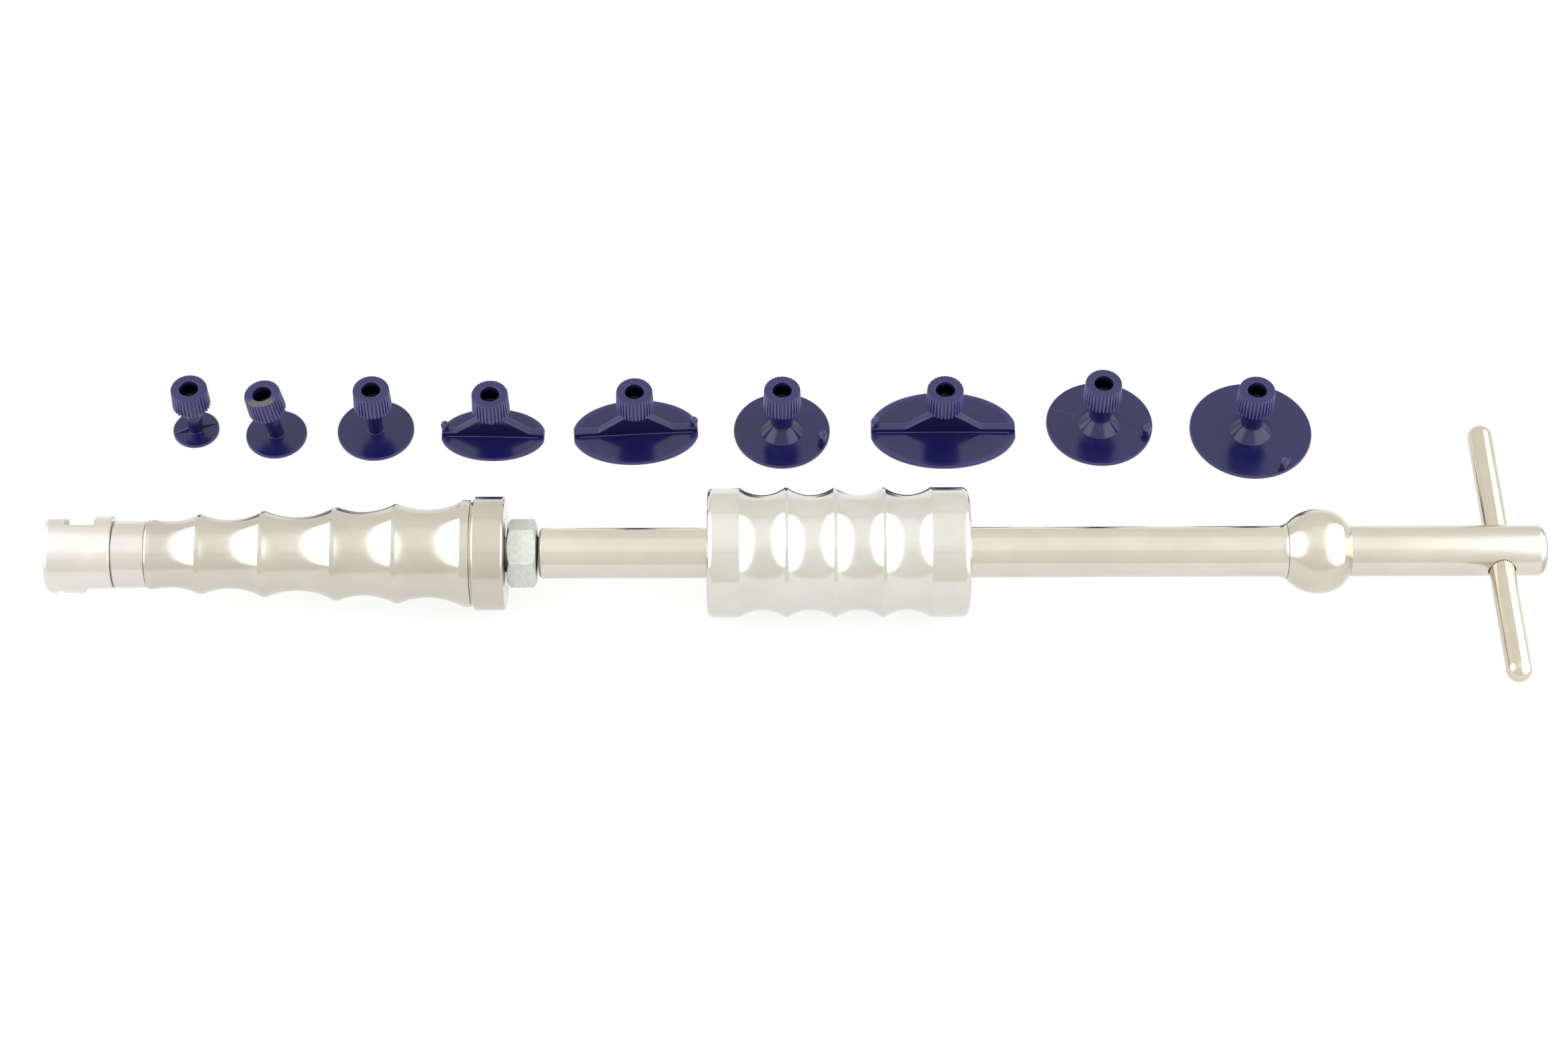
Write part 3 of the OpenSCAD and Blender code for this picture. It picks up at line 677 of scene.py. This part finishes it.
def build_bar():
    """Cross bar with hemispherical ends."""
    half = (bar_high.y - bar_low.y) / 2 / MM
    side = arc((-half + BAR_R, 0), BAR_R, 180, 90, 16) + [(-BAR_MIDDLE, BAR_R)]
    points = supported(side + [(-along, out) for along, out in reversed(side)])
    obj = lathe_across("cross_bar_turned", points, BAR_SEGMENTS)
    return seat(obj, "tool", bar_nickel, "bar_nickel", "cross_bar")


def build_knurl():
    """Splined band that holds the bar, seen at both mouths of its hole."""
    side = [(-KNURL_HALF, 0), (-KNURL_HALF, BAR_KNURL_R - KNURL_TAPER),
            (-KNURL_HALF + KNURL_END, BAR_KNURL_R)]
    outline = side + [(-along, out) for along, out in reversed(side)]
    obj = lathe_across("cross_bar_knurl", outline, KNURL_TEETH * 4, KNURL_DEPTH, sharp=20.0)
    return seat(obj, "tool", bar_nickel, "bar_nickel")


def build_nut():
    """Hexagonal nut with turned chamfers, softened edges and a bore."""
    length = (nut_rear - nut_front) / MM
    corner = NUT_AF / 2 / math.cos(math.radians(30))
    chamfer = corner - NUT_AF / 2 * NUT_FACE_SHARE
    mesh_bm = bmesh.new()
    rings = []
    for x in (nut_front, nut_rear):
        ring = []
        for i in range(6):
            t = math.radians(NUT_TURN + 60 * i)
            ring.append((x, AXIS_Y - corner * MM * math.cos(t), AXIS_Z + corner * MM * math.sin(t)))
        rings.append(ring)
    rings = [[(nut_front, AXIS_Y, AXIS_Z)]] + rings + [[(nut_rear, AXIS_Y, AXIS_Z)]]
    skin(rings, mesh_bm)
    obj = finish_mesh("lock_nut_formed", mesh_bm)
    cone = [(0, 0), (0, corner - chamfer), (chamfer / 2, corner), (length - chamfer / 2, corner),
            (length, corner - chamfer), (length, 0)]
    boolean(obj, lathe("cone", cone, nut_front), "INTERSECT")
    boolean(obj, rod("bore", (nut_front - MM, AXIS_Y, AXIS_Z), (nut_rear + MM, AXIS_Y, AXIS_Z),
                     NUT_BORE), "DIFFERENCE")
    soften_edges(obj, NUT_SOFTENED, angle=18.0, segments=3)
    return seat(obj, "nut", zinc, "zinc", "lock_nut")


def build_holder():
    """Drum with its side pocket, its slot, the flat and the small notch."""
    front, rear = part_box("tab_holder")[0].x, neck_front
    length = (rear - front) / MM
    r, nose, edge = 12.1, 1.6, 0.35
    lip, wall, pocket, slot_width = 5.6, 5.5, 15.4, 9.3
    outline = [(0, 0)] + arc((nose, r - nose), nose, 180, 90, 8)
    outline += [(length - edge, r), (length, r - edge), (length, 0)]
    obj = lathe("tab_holder_milled", supported(eased(outline, HOLDER_EASE)), front)
    turn = Matrix.Rotation(math.radians(-HOLDER_TURN), 3, "X")

    def cut(shape):
        shape.data.transform(Matrix.Translation((0, AXIS_Y, AXIS_Z)) @ turn.to_4x4())
        boolean(obj, shape, "DIFFERENCE")

    for start, end, width in ((-1, lip + 1, slot_width), (lip, length - wall, pocket)):
        x0, x1 = front + start * MM, front + end * MM
        cut(rod("floor", (x0, 0, 0), (x1, 0, 0), width / 2, segments=HOLE_SEGMENTS))
        cut(block("mouth", (x0, -width / 2 * MM, 0), (x1, width / 2 * MM, 2 * r * MM)))
    flat, notch = (length - 9.6, length + 1, 1.5), (2.4, 5.4, 0.6)
    for start, end, depth in (flat, notch):
        cut(block("flat", (front + start * MM, -r * MM, -(r + 1) * MM),
                  (front + end * MM, r * MM, -(r - depth) * MM)))
    soften_edges(obj, HOLDER_SOFTENED, angle=28.0)
    return seat(obj, "tool", holder_nickel, "holder_nickel", "tab_holder")


build_weight()
build_grip()
build_ring("strike_collar_turned", "strike_collar", collar_front, collar_rear, collar_radius,
           COLLAR_EDGE, COLLAR_BORE, collar_nickel, "nickel")
build_ring("neck_ring_turned", "neck_ring", neck_front, neck_rear, neck_radius,
           NECK_EDGE, NECK_BORE, neck_nickel, "holder_nickel")
build_shaft()
build_ball()
build_stud()
build_bar()
build_knurl()
build_nut()
build_holder()

# Glue tabs, in millimetres from the middle of each pad's underside. A tone is how pale the plastic is; at
# rims, crests and webs it is painted glow and highlights

HEAD_RIBS = 32
RIB_SHAPE = (0.0, 0.0, 0.12, 0.62, 1.0, 1.0, 1.0, 1.0, 1.0, 0.62, 0.12, 0.0)
TAB_POINTS = HEAD_RIBS * len(RIB_SHAPE)
TAB_H = 21.4
HEAD_Z = 13.4
HEAD_TOP_R = 5.95
HEAD_FOOT_R = 6.25
HEAD_EDGE = 0.3
RIB_ROOT_R = 5.6
HOLE_R = 3.1
HOLE_DEPTH = 5.8
# Depth over which the painted shade in a hole deepens to full
HOLE_DARK_DEPTH = 2.2
PAD_T = 1.2
PAD_BEVEL = 0.22
PAD_RIM_Z = 1.1
PAD_DOME = 0.2
RIM_FADE = 0.2
# Edge of every pad, from its underside up: how far in from the outline, and how high
PAD_EDGE = ((0.4, 0), (0.12, 0), (0, 0.12), (0, PAD_RIM_Z - PAD_BEVEL),
            (0.06, PAD_RIM_Z - PAD_BEVEL * 0.55), (PAD_BEVEL * 0.5, PAD_RIM_Z - PAD_BEVEL * 0.12))
SMALL_STEM_R = 2.5
LARGE_STEM_R = 3.4
STEM_FILLET = 0.3
FLARE_R = 7.0
FLARE_H = 3.8
WEB_T = 2.8
WEB_RUN_Z = 2.9
WEB_KNEE = 12.3
WEB_SLOPE = 38
WEB_TOP = WEB_RUN_Z + (WEB_KNEE - LARGE_STEM_R) * math.tan(math.radians(WEB_SLOPE))
WEB_ROUND = 0.5
WEB_FILLET = 0.22
WEB_LINE_INSET = 1.8
FIN_T = 0.6
FIN_H = 1.2
NUB_R = 1.3
BEAD_R = 1.3
BEAD_INSET = 1.25
UNEVEN_SHARE = 0.05
LEAN_START, LEAN_OVER = 1.6, 1.4
# Tones: the head's top ring and the rib roots a little paler, painted highlights on the crests, web tops
# and fillet lines, painted glow at the pad rims; the web shade is painted shade
RING_TONE, ROOT_TONE, CREST_PAINTED_HIGHLIGHT = 0.12, 0.25, 0.85
RIM_PAINTED_GLOW, WEB_PAINTED_HIGHLIGHT, LINE_PAINTED_HIGHLIGHT, FIN_TONE, RUNNER_TONE = 0.3, 0.15, 0.5, 0.3, 0.45
WEB_SHADE = 0.25


def clamped(value):
    """Value held between 0 and 1."""
    return max(0.0, min(1.0, value))


def dome(share):
    """Height of a pad's top at a share of the way from its middle to its rim."""
    return PAD_RIM_Z + PAD_DOME * (1 - share * share)


def head_tone(x, y, z):
    """Painted highlights on the rib crests over slightly paler roots, and the faintly paler ring on top
    of the head.
    """
    if z < HEAD_Z - 0.05:
        return 0.0
    if z > TAB_H - 0.05:
        return RING_TONE
    crest = clamped((math.hypot(x, y) - RIB_ROOT_R - 0.1) / 0.2)
    return ROOT_TONE + (CREST_PAINTED_HIGHLIGHT - ROOT_TONE) * crest


def head_shade(x, y, z):
    """Painted shade that darkens the hole as it goes down."""
    if z > HEAD_Z and math.hypot(x, y) < HOLE_R + 0.1:
        return clamped((TAB_H - z) / HOLE_DARK_DEPTH)
    return 0.0


class Moulding:
    """Shells of one glue tab in one mesh, with a tone, a painted shade and dust for every point."""

    def __init__(self, place, turn=0.0, lean=0.0):
        self.bm = bmesh.new()
        self.tone, self.shade, self.dust = (self.bm.verts.layers.float.new(name)
                                            for name in ("tone", "shade", "dust"))
        self.place = Vector(place)
        self.turn = Matrix.Rotation(math.radians(turn), 3, "Z")
        self.lean = math.radians(lean)

    def put(self, x, y, z):
        """Point of the tab, bent over by its lean above the pad, then turned into the row."""
        bend = Matrix.Rotation(-self.lean * clamped((z - LEAN_START) / LEAN_OVER), 3, "Y")
        pivot = Vector((0, 0, PAD_T / 2))
        return self.turn @ (bend @ (Vector((x, y, z)) - pivot) + pivot) * MM + self.place

    def shell(self, rings, tone=0.0, shade=0.0, dust=0.0):
        """Adds a skin over rings of local points. Tone, shade and dust are each a value or a function
        of a local point."""
        made = skin([[self.put(*p) for p in ring] for ring in rings], self.bm)
        for points, verts in zip(rings, made):
            for p, v in zip(points, verts):
                for layer, paint in ((self.tone, tone), (self.shade, shade), (self.dust, dust)):
                    v[layer] = paint(*p) if callable(paint) else paint

    def turned(self, levels, tone=head_tone, shade=head_shade, dust=0.0):
        """Skin over (radius, height, rib depth) levels about the tab's upright axis."""
        rings = []
        for r, z, depth in levels:
            if r < POLE_R:
                rings.append([(0, 0, z)])
                continue
            ring = []
            for i, t in enumerate(full_turn(TAB_POINTS)):
                out = r - depth * RIB_SHAPE[i % len(RIB_SHAPE)]
                ring.append((out * math.cos(t), out * math.sin(t), z))
            rings.append(ring)
        self.shell(rings, tone, shade, dust)

    def ridge(self, a, b, width, height, tone, bow):
        """Fine ridge with a triangular section along a line between two points, bowed sideways."""
        a, b = Vector(a), Vector(b)
        side = (b - a).normalized().cross(Vector((0, 0, 1)))
        rings = []
        for i in range(13):
            t = i / 12
            swell = math.sin(math.pi * t)
            centre = a.lerp(b, t) + side * bow * swell
            rise = Vector((0, 0, height * swell ** 0.4 if 0 < i < 12 else 0.0))
            half = side * width / 2
            rings.append([tuple(p) for p in (centre + half, centre + rise, centre - half)])
        self.shell(rings, tone)

    def done(self, name):
        return finish_mesh(name, self.bm, sharp=32.0)


def head_levels(foot):
    """Levels of the ribbed head from its underside round to the floor of its hole."""
    top, lip = TAB_H, TAB_H - HEAD_EDGE
    levels = [(RIB_ROOT_R - 0.6, HEAD_Z, 0), (RIB_ROOT_R, HEAD_Z, 0),
              (HEAD_FOOT_R - 0.12, HEAD_Z, HEAD_FOOT_R - RIB_ROOT_R - 0.12)]
    steps = 8
    for i in range(steps + 1):
        t = i / steps
        z = HEAD_Z + 0.14 + (lip - HEAD_Z - 0.14) * t
        r = HEAD_FOOT_R + (HEAD_TOP_R - HEAD_FOOT_R) * t
        levels.append((r, z, r - RIB_ROOT_R))
    levels += [(HEAD_TOP_R - 0.06, lip + 0.10, HEAD_TOP_R - 0.06 - RIB_ROOT_R),
               (HEAD_TOP_R - 0.17, lip + 0.22, HEAD_TOP_R - 0.17 - RIB_ROOT_R),
               (HEAD_TOP_R - HEAD_EDGE, top, HEAD_TOP_R - HEAD_EDGE - RIB_ROOT_R),
               (RIB_ROOT_R - 0.15, top, 0), (4.6, top, 0), (HOLE_R + 0.42, top, 0),
               (HOLE_R + 0.22, top - 0.02, 0), (HOLE_R + 0.05, top - 0.16, 0), (HOLE_R, top - 0.4, 0),
               (HOLE_R - 0.03, top - HOLE_DARK_DEPTH, 0),
               (HOLE_R - 0.05, top - HOLE_DEPTH + 0.5, 0), (HOLE_R - 0.2, top - HOLE_DEPTH + 0.1, 0),
               (HOLE_R - 0.6, top - HOLE_DEPTH, 0), (0, top - HOLE_DEPTH, 0)]
    return foot + levels


def stem_levels(radius, low, high):
    """Levels of a plain stem that widens a little under the head."""
    return [(radius, low, 0), (radius, (low + high) / 2, 0), (radius, high - 0.4, 0),
            (radius + 0.1, high - 0.12, 0), (radius + 0.4, high, 0)]


def round_tab(tab, radius, stem, flared, dust):
    """Round pad, stem with a flared or rounded foot, and ribbed head, as one skin."""
    levels = [(0, 0, 0)] + [(radius - margin, z, 0) for margin, z in PAD_EDGE]
    foot = FLARE_R if flared else stem + STEM_FILLET
    inner, outer = foot + 0.15, radius - PAD_BEVEL
    for r in [outer, outer - RIM_FADE] + [outer + (inner - outer) * i / 8 for i in range(1, 9)]:
        levels.append((r, dome(r / radius), 0))
    base = dome(foot / radius)
    if flared:
        rise = PAD_T + FLARE_H - base
        for t in (0.0, 0.03, 0.25, 0.5, 0.75, 0.95):
            levels.append((FLARE_R + (stem - FLARE_R) * t, base + rise * t, 0))
        levels += stem_levels(stem, PAD_T + FLARE_H + 0.15, HEAD_Z)
    else:
        curve = arc((stem + STEM_FILLET, base + STEM_FILLET), STEM_FILLET, 270, 180, 5)
        levels += [(r, z, 0) for r, z in curve]
        levels += stem_levels(stem, base + STEM_FILLET + 0.3, HEAD_Z)

    # Painted glow along the pad's thin rim; elsewhere the head's tones
    def tone(x, y, z):
        if z < PAD_RIM_Z + 0.1 and math.hypot(x, y) > radius - PAD_BEVEL - 0.05:
            return RIM_PAINTED_GLOW
        return head_tone(x, y, z)

    tab.turned(head_levels(levels), tone, head_shade, dust)


def cut_ellipse(length, width, margin, steps=48):
    """Outline of an ellipse with its two ends cut square, drawn in by a margin."""
    a = 1.02 * length / 2 - margin
    b = width / 2 - margin
    end = math.acos((length / 2 - margin) / a)
    side = []
    for i in range(steps + 1):
        t = end + (math.pi - 2 * end) * i / steps
        side.append((a * math.cos(t), b * math.sin(t)))
    return side + [(-x, -y) for x, y in side]


def web_height(x):
    """Height of the web's top at a distance from the middle."""
    if abs(x) >= WEB_KNEE:
        return WEB_RUN_Z
    slope = math.tan(math.radians(WEB_SLOPE))
    return min(WEB_TOP, WEB_RUN_Z + (WEB_KNEE - abs(x)) * slope)


def oval_tab(tab, length, width):
    """Oval pad with its web from end to end, and the short stem and ribbed head on top."""
    rings = [[(0, 0, 0)]]
    for margin, z in PAD_EDGE:
        rings.append([(x, y, z) for x, y in cut_ellipse(length, width, margin)])
    top = cut_ellipse(length, width, PAD_BEVEL)
    for share in [1, 1 - 2 * RIM_FADE / width] + [1 - i / 9 for i in range(1, 9)]:
        rings.append([(x * share, y * share, dome(share)) for x, y in top])
    rings.append([(0, 0, dome(0))])

    # Painted glow along the oval pad's rim
    def tone(x, y, z):
        return RIM_PAINTED_GLOW * clamped((math.hypot(2 * x / length, 2 * y / width) - 0.965) / 0.015)

    tab.shell(rings, tone)

    reach = length / 2 - PAD_BEVEL
    half = WEB_T / 2
    places = [reach, reach - 0.5, WEB_KNEE + 0.7, WEB_KNEE + 0.2, WEB_KNEE - 0.3, WEB_KNEE - 0.9]
    places += [LARGE_STEM_R + 3.0, LARGE_STEM_R]
    rings = []
    for x in [-p for p in places] + [0.0] + list(reversed(places)):
        z = web_height(x)
        section = [(half, 0.3)] + arc((half - WEB_ROUND, z - WEB_ROUND), WEB_ROUND, 0, 90)
        rings.append([(x, -y, h) for y, h in section] + [(x, y, h) for y, h in reversed(section)])

    # Painted highlight along the web's rounded top
    def web_tone(x, y, z):
        return WEB_PAINTED_HIGHLIGHT if z > web_height(x) - WEB_ROUND * 0.6 else 0.0

    # Painted shade on the web's faces, deepest in the middle under the head
    def web_shade(x, y, z):
        if z > web_height(x) - WEB_ROUND * 0.6:
            return 0.0
        return WEB_SHADE * clamped(1.15 - abs(x) / reach)

    tab.shell([[(-reach, 0, 1.0)]] + rings + [[(reach, 0, 1.0)]], web_tone, web_shade)

    # Fillets along the web's foot, painted with a highlight
    line = reach - WEB_LINE_INSET
    for side in (-1, 1):
        rings = []
        for i in range(13):
            x = line * (i / 6 - 1)
            base = dome(x / (length / 2))
            curve = arc((half + WEB_FILLET, base + WEB_FILLET), WEB_FILLET, 180, 270, 3)
            section = [(half - 0.2, base + WEB_FILLET), *curve, (half - 0.2, base - 0.2)]
            rings.append([(x, side * y, z) for y, z in section])
        ends = [[(x, side * half, PAD_RIM_Z)] for x in (-line - 0.3, line + 0.3)]
        tab.shell(ends[:1] + rings + ends[1:], LINE_PAINTED_HIGHLIGHT)

    stub = [(0, WEB_TOP - 0.2, 0), (LARGE_STEM_R - 0.15, WEB_TOP - 0.2, 0)]
    tab.turned(head_levels(stub + stem_levels(LARGE_STEM_R, WEB_TOP, HEAD_Z)))


def level_ring(x, y, z, radius, count, rng=None):
    """Level ring of points, uneven where it has random draws, or one point where it has no radius."""
    ring = []
    for t in full_turn(count if radius else 1):
        r = radius * (1 + rng.uniform(-UNEVEN_SHARE, UNEVEN_SHARE)) if rng and radius else radius
        ring.append((x + r * math.cos(t), y + r * math.sin(t), z))
    return ring


def nub_skin(tab, x, y, out, base, levels, rng):
    """Uneven round post over (radius, height, shift inwards) levels."""
    rings = []
    for r, z, shift in levels:
        rings.append(level_ring(x - out.x * shift, y - out.y * shift, base + z, r, 24, rng))
    tab.shell(rings, lambda px, py, pz: 0.1 + 0.3 * clamped((pz - base - 1.6) / 1.2))


def gate_bead(tab, x, base, rng):
    """Rounded stub on top of the web's end."""
    levels = ((0.0, PAD_T - base, 0), (BEAD_R * 0.9, PAD_T - base, 0), (BEAD_R * 0.9, 0.5, 0),
              (BEAD_R * 0.98, 1.4, 0), (BEAD_R * 1.03, 2.1, 0), (BEAD_R * 0.97, 2.7, 0),
              (BEAD_R * 0.77, 3.2, 0), (BEAD_R * 0.45, 3.48, 0), (0, 3.56, 0))
    nub_skin(tab, x, 0.1, Vector((0, 0)), base, levels, rng)


def gate_nub(tab, x, y, towards, base, rng):
    """Stub left by the moulding gate: waisted post, offset cap and a torn runner."""
    out = Vector((math.cos(math.radians(towards)), math.sin(math.radians(towards))))
    levels = ((0.0, -0.3, 0), (NUB_R, -0.3, 0), (1.2, 0.2, 0), (1.12, 0.9, 0), (1.1, 1.5, 0.05),
              (1.26, 1.9, 0.1), (1.44, 2.25, 0.14), (1.46, 2.85, 0.16), (1.26, 3.25, 0.16),
              (0.86, 3.32, 0.14), (0.5, 3.0, 0.1), (0, 3.05, 0.1))
    nub_skin(tab, x, y, out, base, levels, rng)
    side = Vector((-out.y, out.x))
    start = Vector((x, y)) + side * 0.8
    rings = []
    for i, r in enumerate((0.0, 0.5, 0.6, 0.64, 0.6, 0.42, 0.0)):
        t = i / 6
        centre = start + side * (0.95 * math.sin(math.pi * t * 0.6))
        rings.append(level_ring(*centre, base + 1.2 + 2.1 * t, r, 12))
    tab.shell(rings, RUNNER_TONE)


def tab_fin(tab, side, radius):
    """Low fin from the stem out to the rim, as the smallest tab has on both sides."""
    rings = []
    first, last = SMALL_STEM_R - 0.4, radius - PAD_BEVEL
    for share in (0.0, 0.35, 0.7, 1.0):
        x = side * (first + (last - first) * share)
        z = PAD_T + FIN_H * (1 - share)
        rings.append([(x, -FIN_T / 2, PAD_RIM_Z - 0.3), (x, -FIN_T / 4, z), (x, FIN_T / 4, z),
                      (x, FIN_T / 2, PAD_RIM_Z - 0.3)])
    ends = [[(side * 1.0, 0, PAD_T)]], [[(side * (last + 0.05), 0, PAD_RIM_Z - 0.3)]]
    tab.shell(ends[0] + rings + ends[1], FIN_TONE)


# Round tabs: stem radius, angle of the gate's nub or none, lean and turn in degrees
ROUND_TABS = (
    ("tab_round_15", SMALL_STEM_R, None, 0.0, 18.0),
    ("tab_round_20", SMALL_STEM_R, None, 7.5, 0.0),
    ("tab_round_25", SMALL_STEM_R, None, 0.0, 0.0),
    ("tab_round_32", LARGE_STEM_R, -20.0, 0.0, 0.0),
    ("tab_round_35", LARGE_STEM_R, -17.0, 0.0, 0.0),
    ("tab_round_40", LARGE_STEM_R, -59.0, 0.0, 0.0),
)
# Oval tabs: turn in degrees, side of the gate's nub, length and width
OVAL_TABS = (
    ("tab_oval_34", -1.5, -1, 33.8, 0.64 * 33.8),
    ("tab_oval_41", 3.5, 1, 40.8, 0.66 * 40.8),
    ("tab_oval_48", 0.0, -1, 47.5, 0.675 * 47.5),
)
FINNED_TAB = "tab_round_15"
DUSTY_TAB = "tab_round_20"
# Hair-thin line across one pad, on both sides of its stem: its two ends, width, height and tone
LINED_TAB = "tab_round_35"
PAD_LINES = (((-15.6, 6.4), (-7.2, 3.2), 0.15, 0.035, 0.9), ((7.0, -2.4), (13.2, -4.5), 0.11, 0.02, 0.5))
PAD_LINE_BOW = 0.2


def tab_place(node):
    """Middle of a tab's underside, from its box in the frame."""
    low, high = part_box(node)
    return (low.x + high.x) / 2, (low.y + high.y) / 2, low.z


def ring_dust(x, y, z):
    """Dust on the front of the head's top ring."""
    return clamped((-y - 1.5) / 2.0) if z > TAB_H - 0.2 else 0.0


def build_tabs(material):
    """The nine tabs, each on its own body. One seed serves all the nubs in turn."""
    rng = random.Random(9)
    for node, stem, nub_angle, lean, turn in ROUND_TABS:
        low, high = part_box(node)
        radius = (high.y - low.y) / 2 / MM
        tab = Moulding(tab_place(node), turn, lean)
        round_tab(tab, radius, stem, nub_angle is not None, ring_dust if node == DUSTY_TAB else 0.0)
        if nub_angle is not None:
            reach = radius - PAD_BEVEL - NUB_R - 0.1
            t = math.radians(nub_angle)
            gate_nub(tab, reach * math.cos(t), reach * math.sin(t), nub_angle, dome(reach / radius), rng)
        if node == LINED_TAB:
            for start, end, width, height, tone in PAD_LINES:
                ends = [(*p, dome(math.hypot(*p) / radius)) for p in (start, end)]
                tab.ridge(*ends, width, height, tone, PAD_LINE_BOW)
        if node == FINNED_TAB:
            for side in (-1, 1):
                tab_fin(tab, side, radius)
        seat(tab.done(node + "_moulding"), node + "_piece", material, "tab_plastic", node)
    for node, turn, nub_side, length, width in OVAL_TABS:
        tab = Moulding(tab_place(node), turn)
        oval_tab(tab, length, width)
        gate_bead(tab, nub_side * (length / 2 - BEAD_INSET), WEB_RUN_Z, rng)
        seat(tab.done(node + "_moulding"), node + "_piece", material, "tab_plastic", node)


build_tabs(make_plastic())

# Floor, light and camera

FLOOR_HALF = 3.0
FLOOR_PALE = 0.22
FLOOR_GLOW = 0.79
FLOOR_ROUGHNESS, FLOOR_SPECULAR = 0.9, 0.1
PANEL_SIZE = 0.90
PANEL_RADIANCE = 1.60
PANEL_TINT = (0.965, 1.0, 1.085)
PANELS = (("left_panel", (-0.484, -0.02, 0.45), 1), ("right_panel", (0.416, -0.10, 0.44), -1))
# Colours of the tent, each at the sine of its height above the horizon. The first one holds below it
TENT_STOPS = ((0.0, (0.97, 0.955, 0.90)), (0.35, (1.02, 1.01, 0.97)), (0.75, (1.10, 1.09, 1.07)),
              (0.777, (1.12, 1.11, 1.09)), (0.781, (0.78, 0.76, 0.71)), (0.787, (0.78, 0.76, 0.71)),
              (0.791, (1.13, 1.12, 1.10)), (0.95, (1.27, 1.26, 1.25)))
TENT_STRENGTH = 1.02
CLIP_NEAR, CLIP_FAR = 0.05, 20.0


def build_floor():
    """Plain floor, matt and evenly bright."""
    mesh_bm = bmesh.new()
    bmesh.ops.create_grid(mesh_bm, x_segments=8, y_segments=8, size=FLOOR_HALF)
    obj = finish_mesh("floor", mesh_bm)
    mat, tree, shader = shader_tree("floor")
    set_inputs(shader, Base_Color=(FLOOR_PALE, FLOOR_PALE, FLOOR_PALE, 1.0), Emission_Color=(1, 1, 1, 1),
               Emission_Strength=FLOOR_GLOW, Roughness=FLOOR_ROUGHNESS, Specular_IOR_Level=FLOOR_SPECULAR)
    obj.data.materials.append(mat)


def build_panel(name, place, side):
    """Round soft light that shines along X."""
    data = bpy.data.lights.new(name, "AREA")
    data.shape = "DISK"
    data.size = PANEL_SIZE
    data.energy = PANEL_RADIANCE * math.pi ** 2 * PANEL_SIZE ** 2 / 4
    data.color = PANEL_TINT
    obj = bpy.data.objects.new(name, data)
    obj.location = place
    obj.rotation_euler = Vector((side, 0, 0)).to_track_quat("-Z", "Y").to_euler()
    obj.visible_camera = False
    bpy.context.scene.collection.objects.link(obj)


def build_world():
    """Pale tent: brighter overhead, a little darker and warmer towards the horizon, with a fine seam at
    the height of the lens."""
    world = bpy.data.worlds.new("tent")
    bpy.context.scene.world = world
    world.use_nodes = True
    tree = world.node_tree
    background = tree.nodes["Background"]
    place = add_node(tree, "ShaderNodeTexCoord")
    split = add_node(tree, "ShaderNodeSeparateXYZ")
    tree.links.new(place.outputs["Generated"], split.inputs["Vector"])
    ramp = add_node(tree, "ShaderNodeValToRGB")
    tree.links.new(split.outputs["Z"], ramp.inputs["Fac"])
    while len(ramp.color_ramp.elements) < len(TENT_STOPS):
        ramp.color_ramp.elements.new(0.5)
    for element, (position, colour) in zip(ramp.color_ramp.elements, TENT_STOPS):
        element.position = position
        element.color = (*colour, 1.0)
    tree.links.new(ramp.outputs["Color"], background.inputs["Color"])
    set_inputs(background, Strength=TENT_STRENGTH)


def build_camera():
    """Camera of the photograph, placed from the tool's nose."""
    data = bpy.data.cameras.new("camera")
    data.sensor_width = SENSOR_W
    data.lens = FOCAL_PX / IMAGE_W * SENSOR_W
    data.shift_x = (IMAGE_W / 2 - CENTRE_PX) / IMAGE_W
    data.clip_start, data.clip_end = CLIP_NEAR, CLIP_FAR
    obj = bpy.data.objects.new("camera", data)
    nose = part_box("tab_holder")[0].x
    obj.location = (nose + CAMERA_ALONG, AXIS_Y + CAMERA_ACROSS, CAMERA_UP)
    turn = (Matrix.Rotation(math.radians(90 - CAMERA_PITCH), 3, "X")
            @ Matrix.Rotation(math.radians(CAMERA_ROLL), 3, "Z"))
    obj.rotation_euler = turn.to_euler()
    bpy.context.scene.collection.objects.link(obj)
    bpy.context.scene.camera = obj


build_floor()
for panel in PANELS:
    build_panel(*panel)
build_world()
build_camera()
bpy.context.scene.view_settings.view_transform = "Standard"
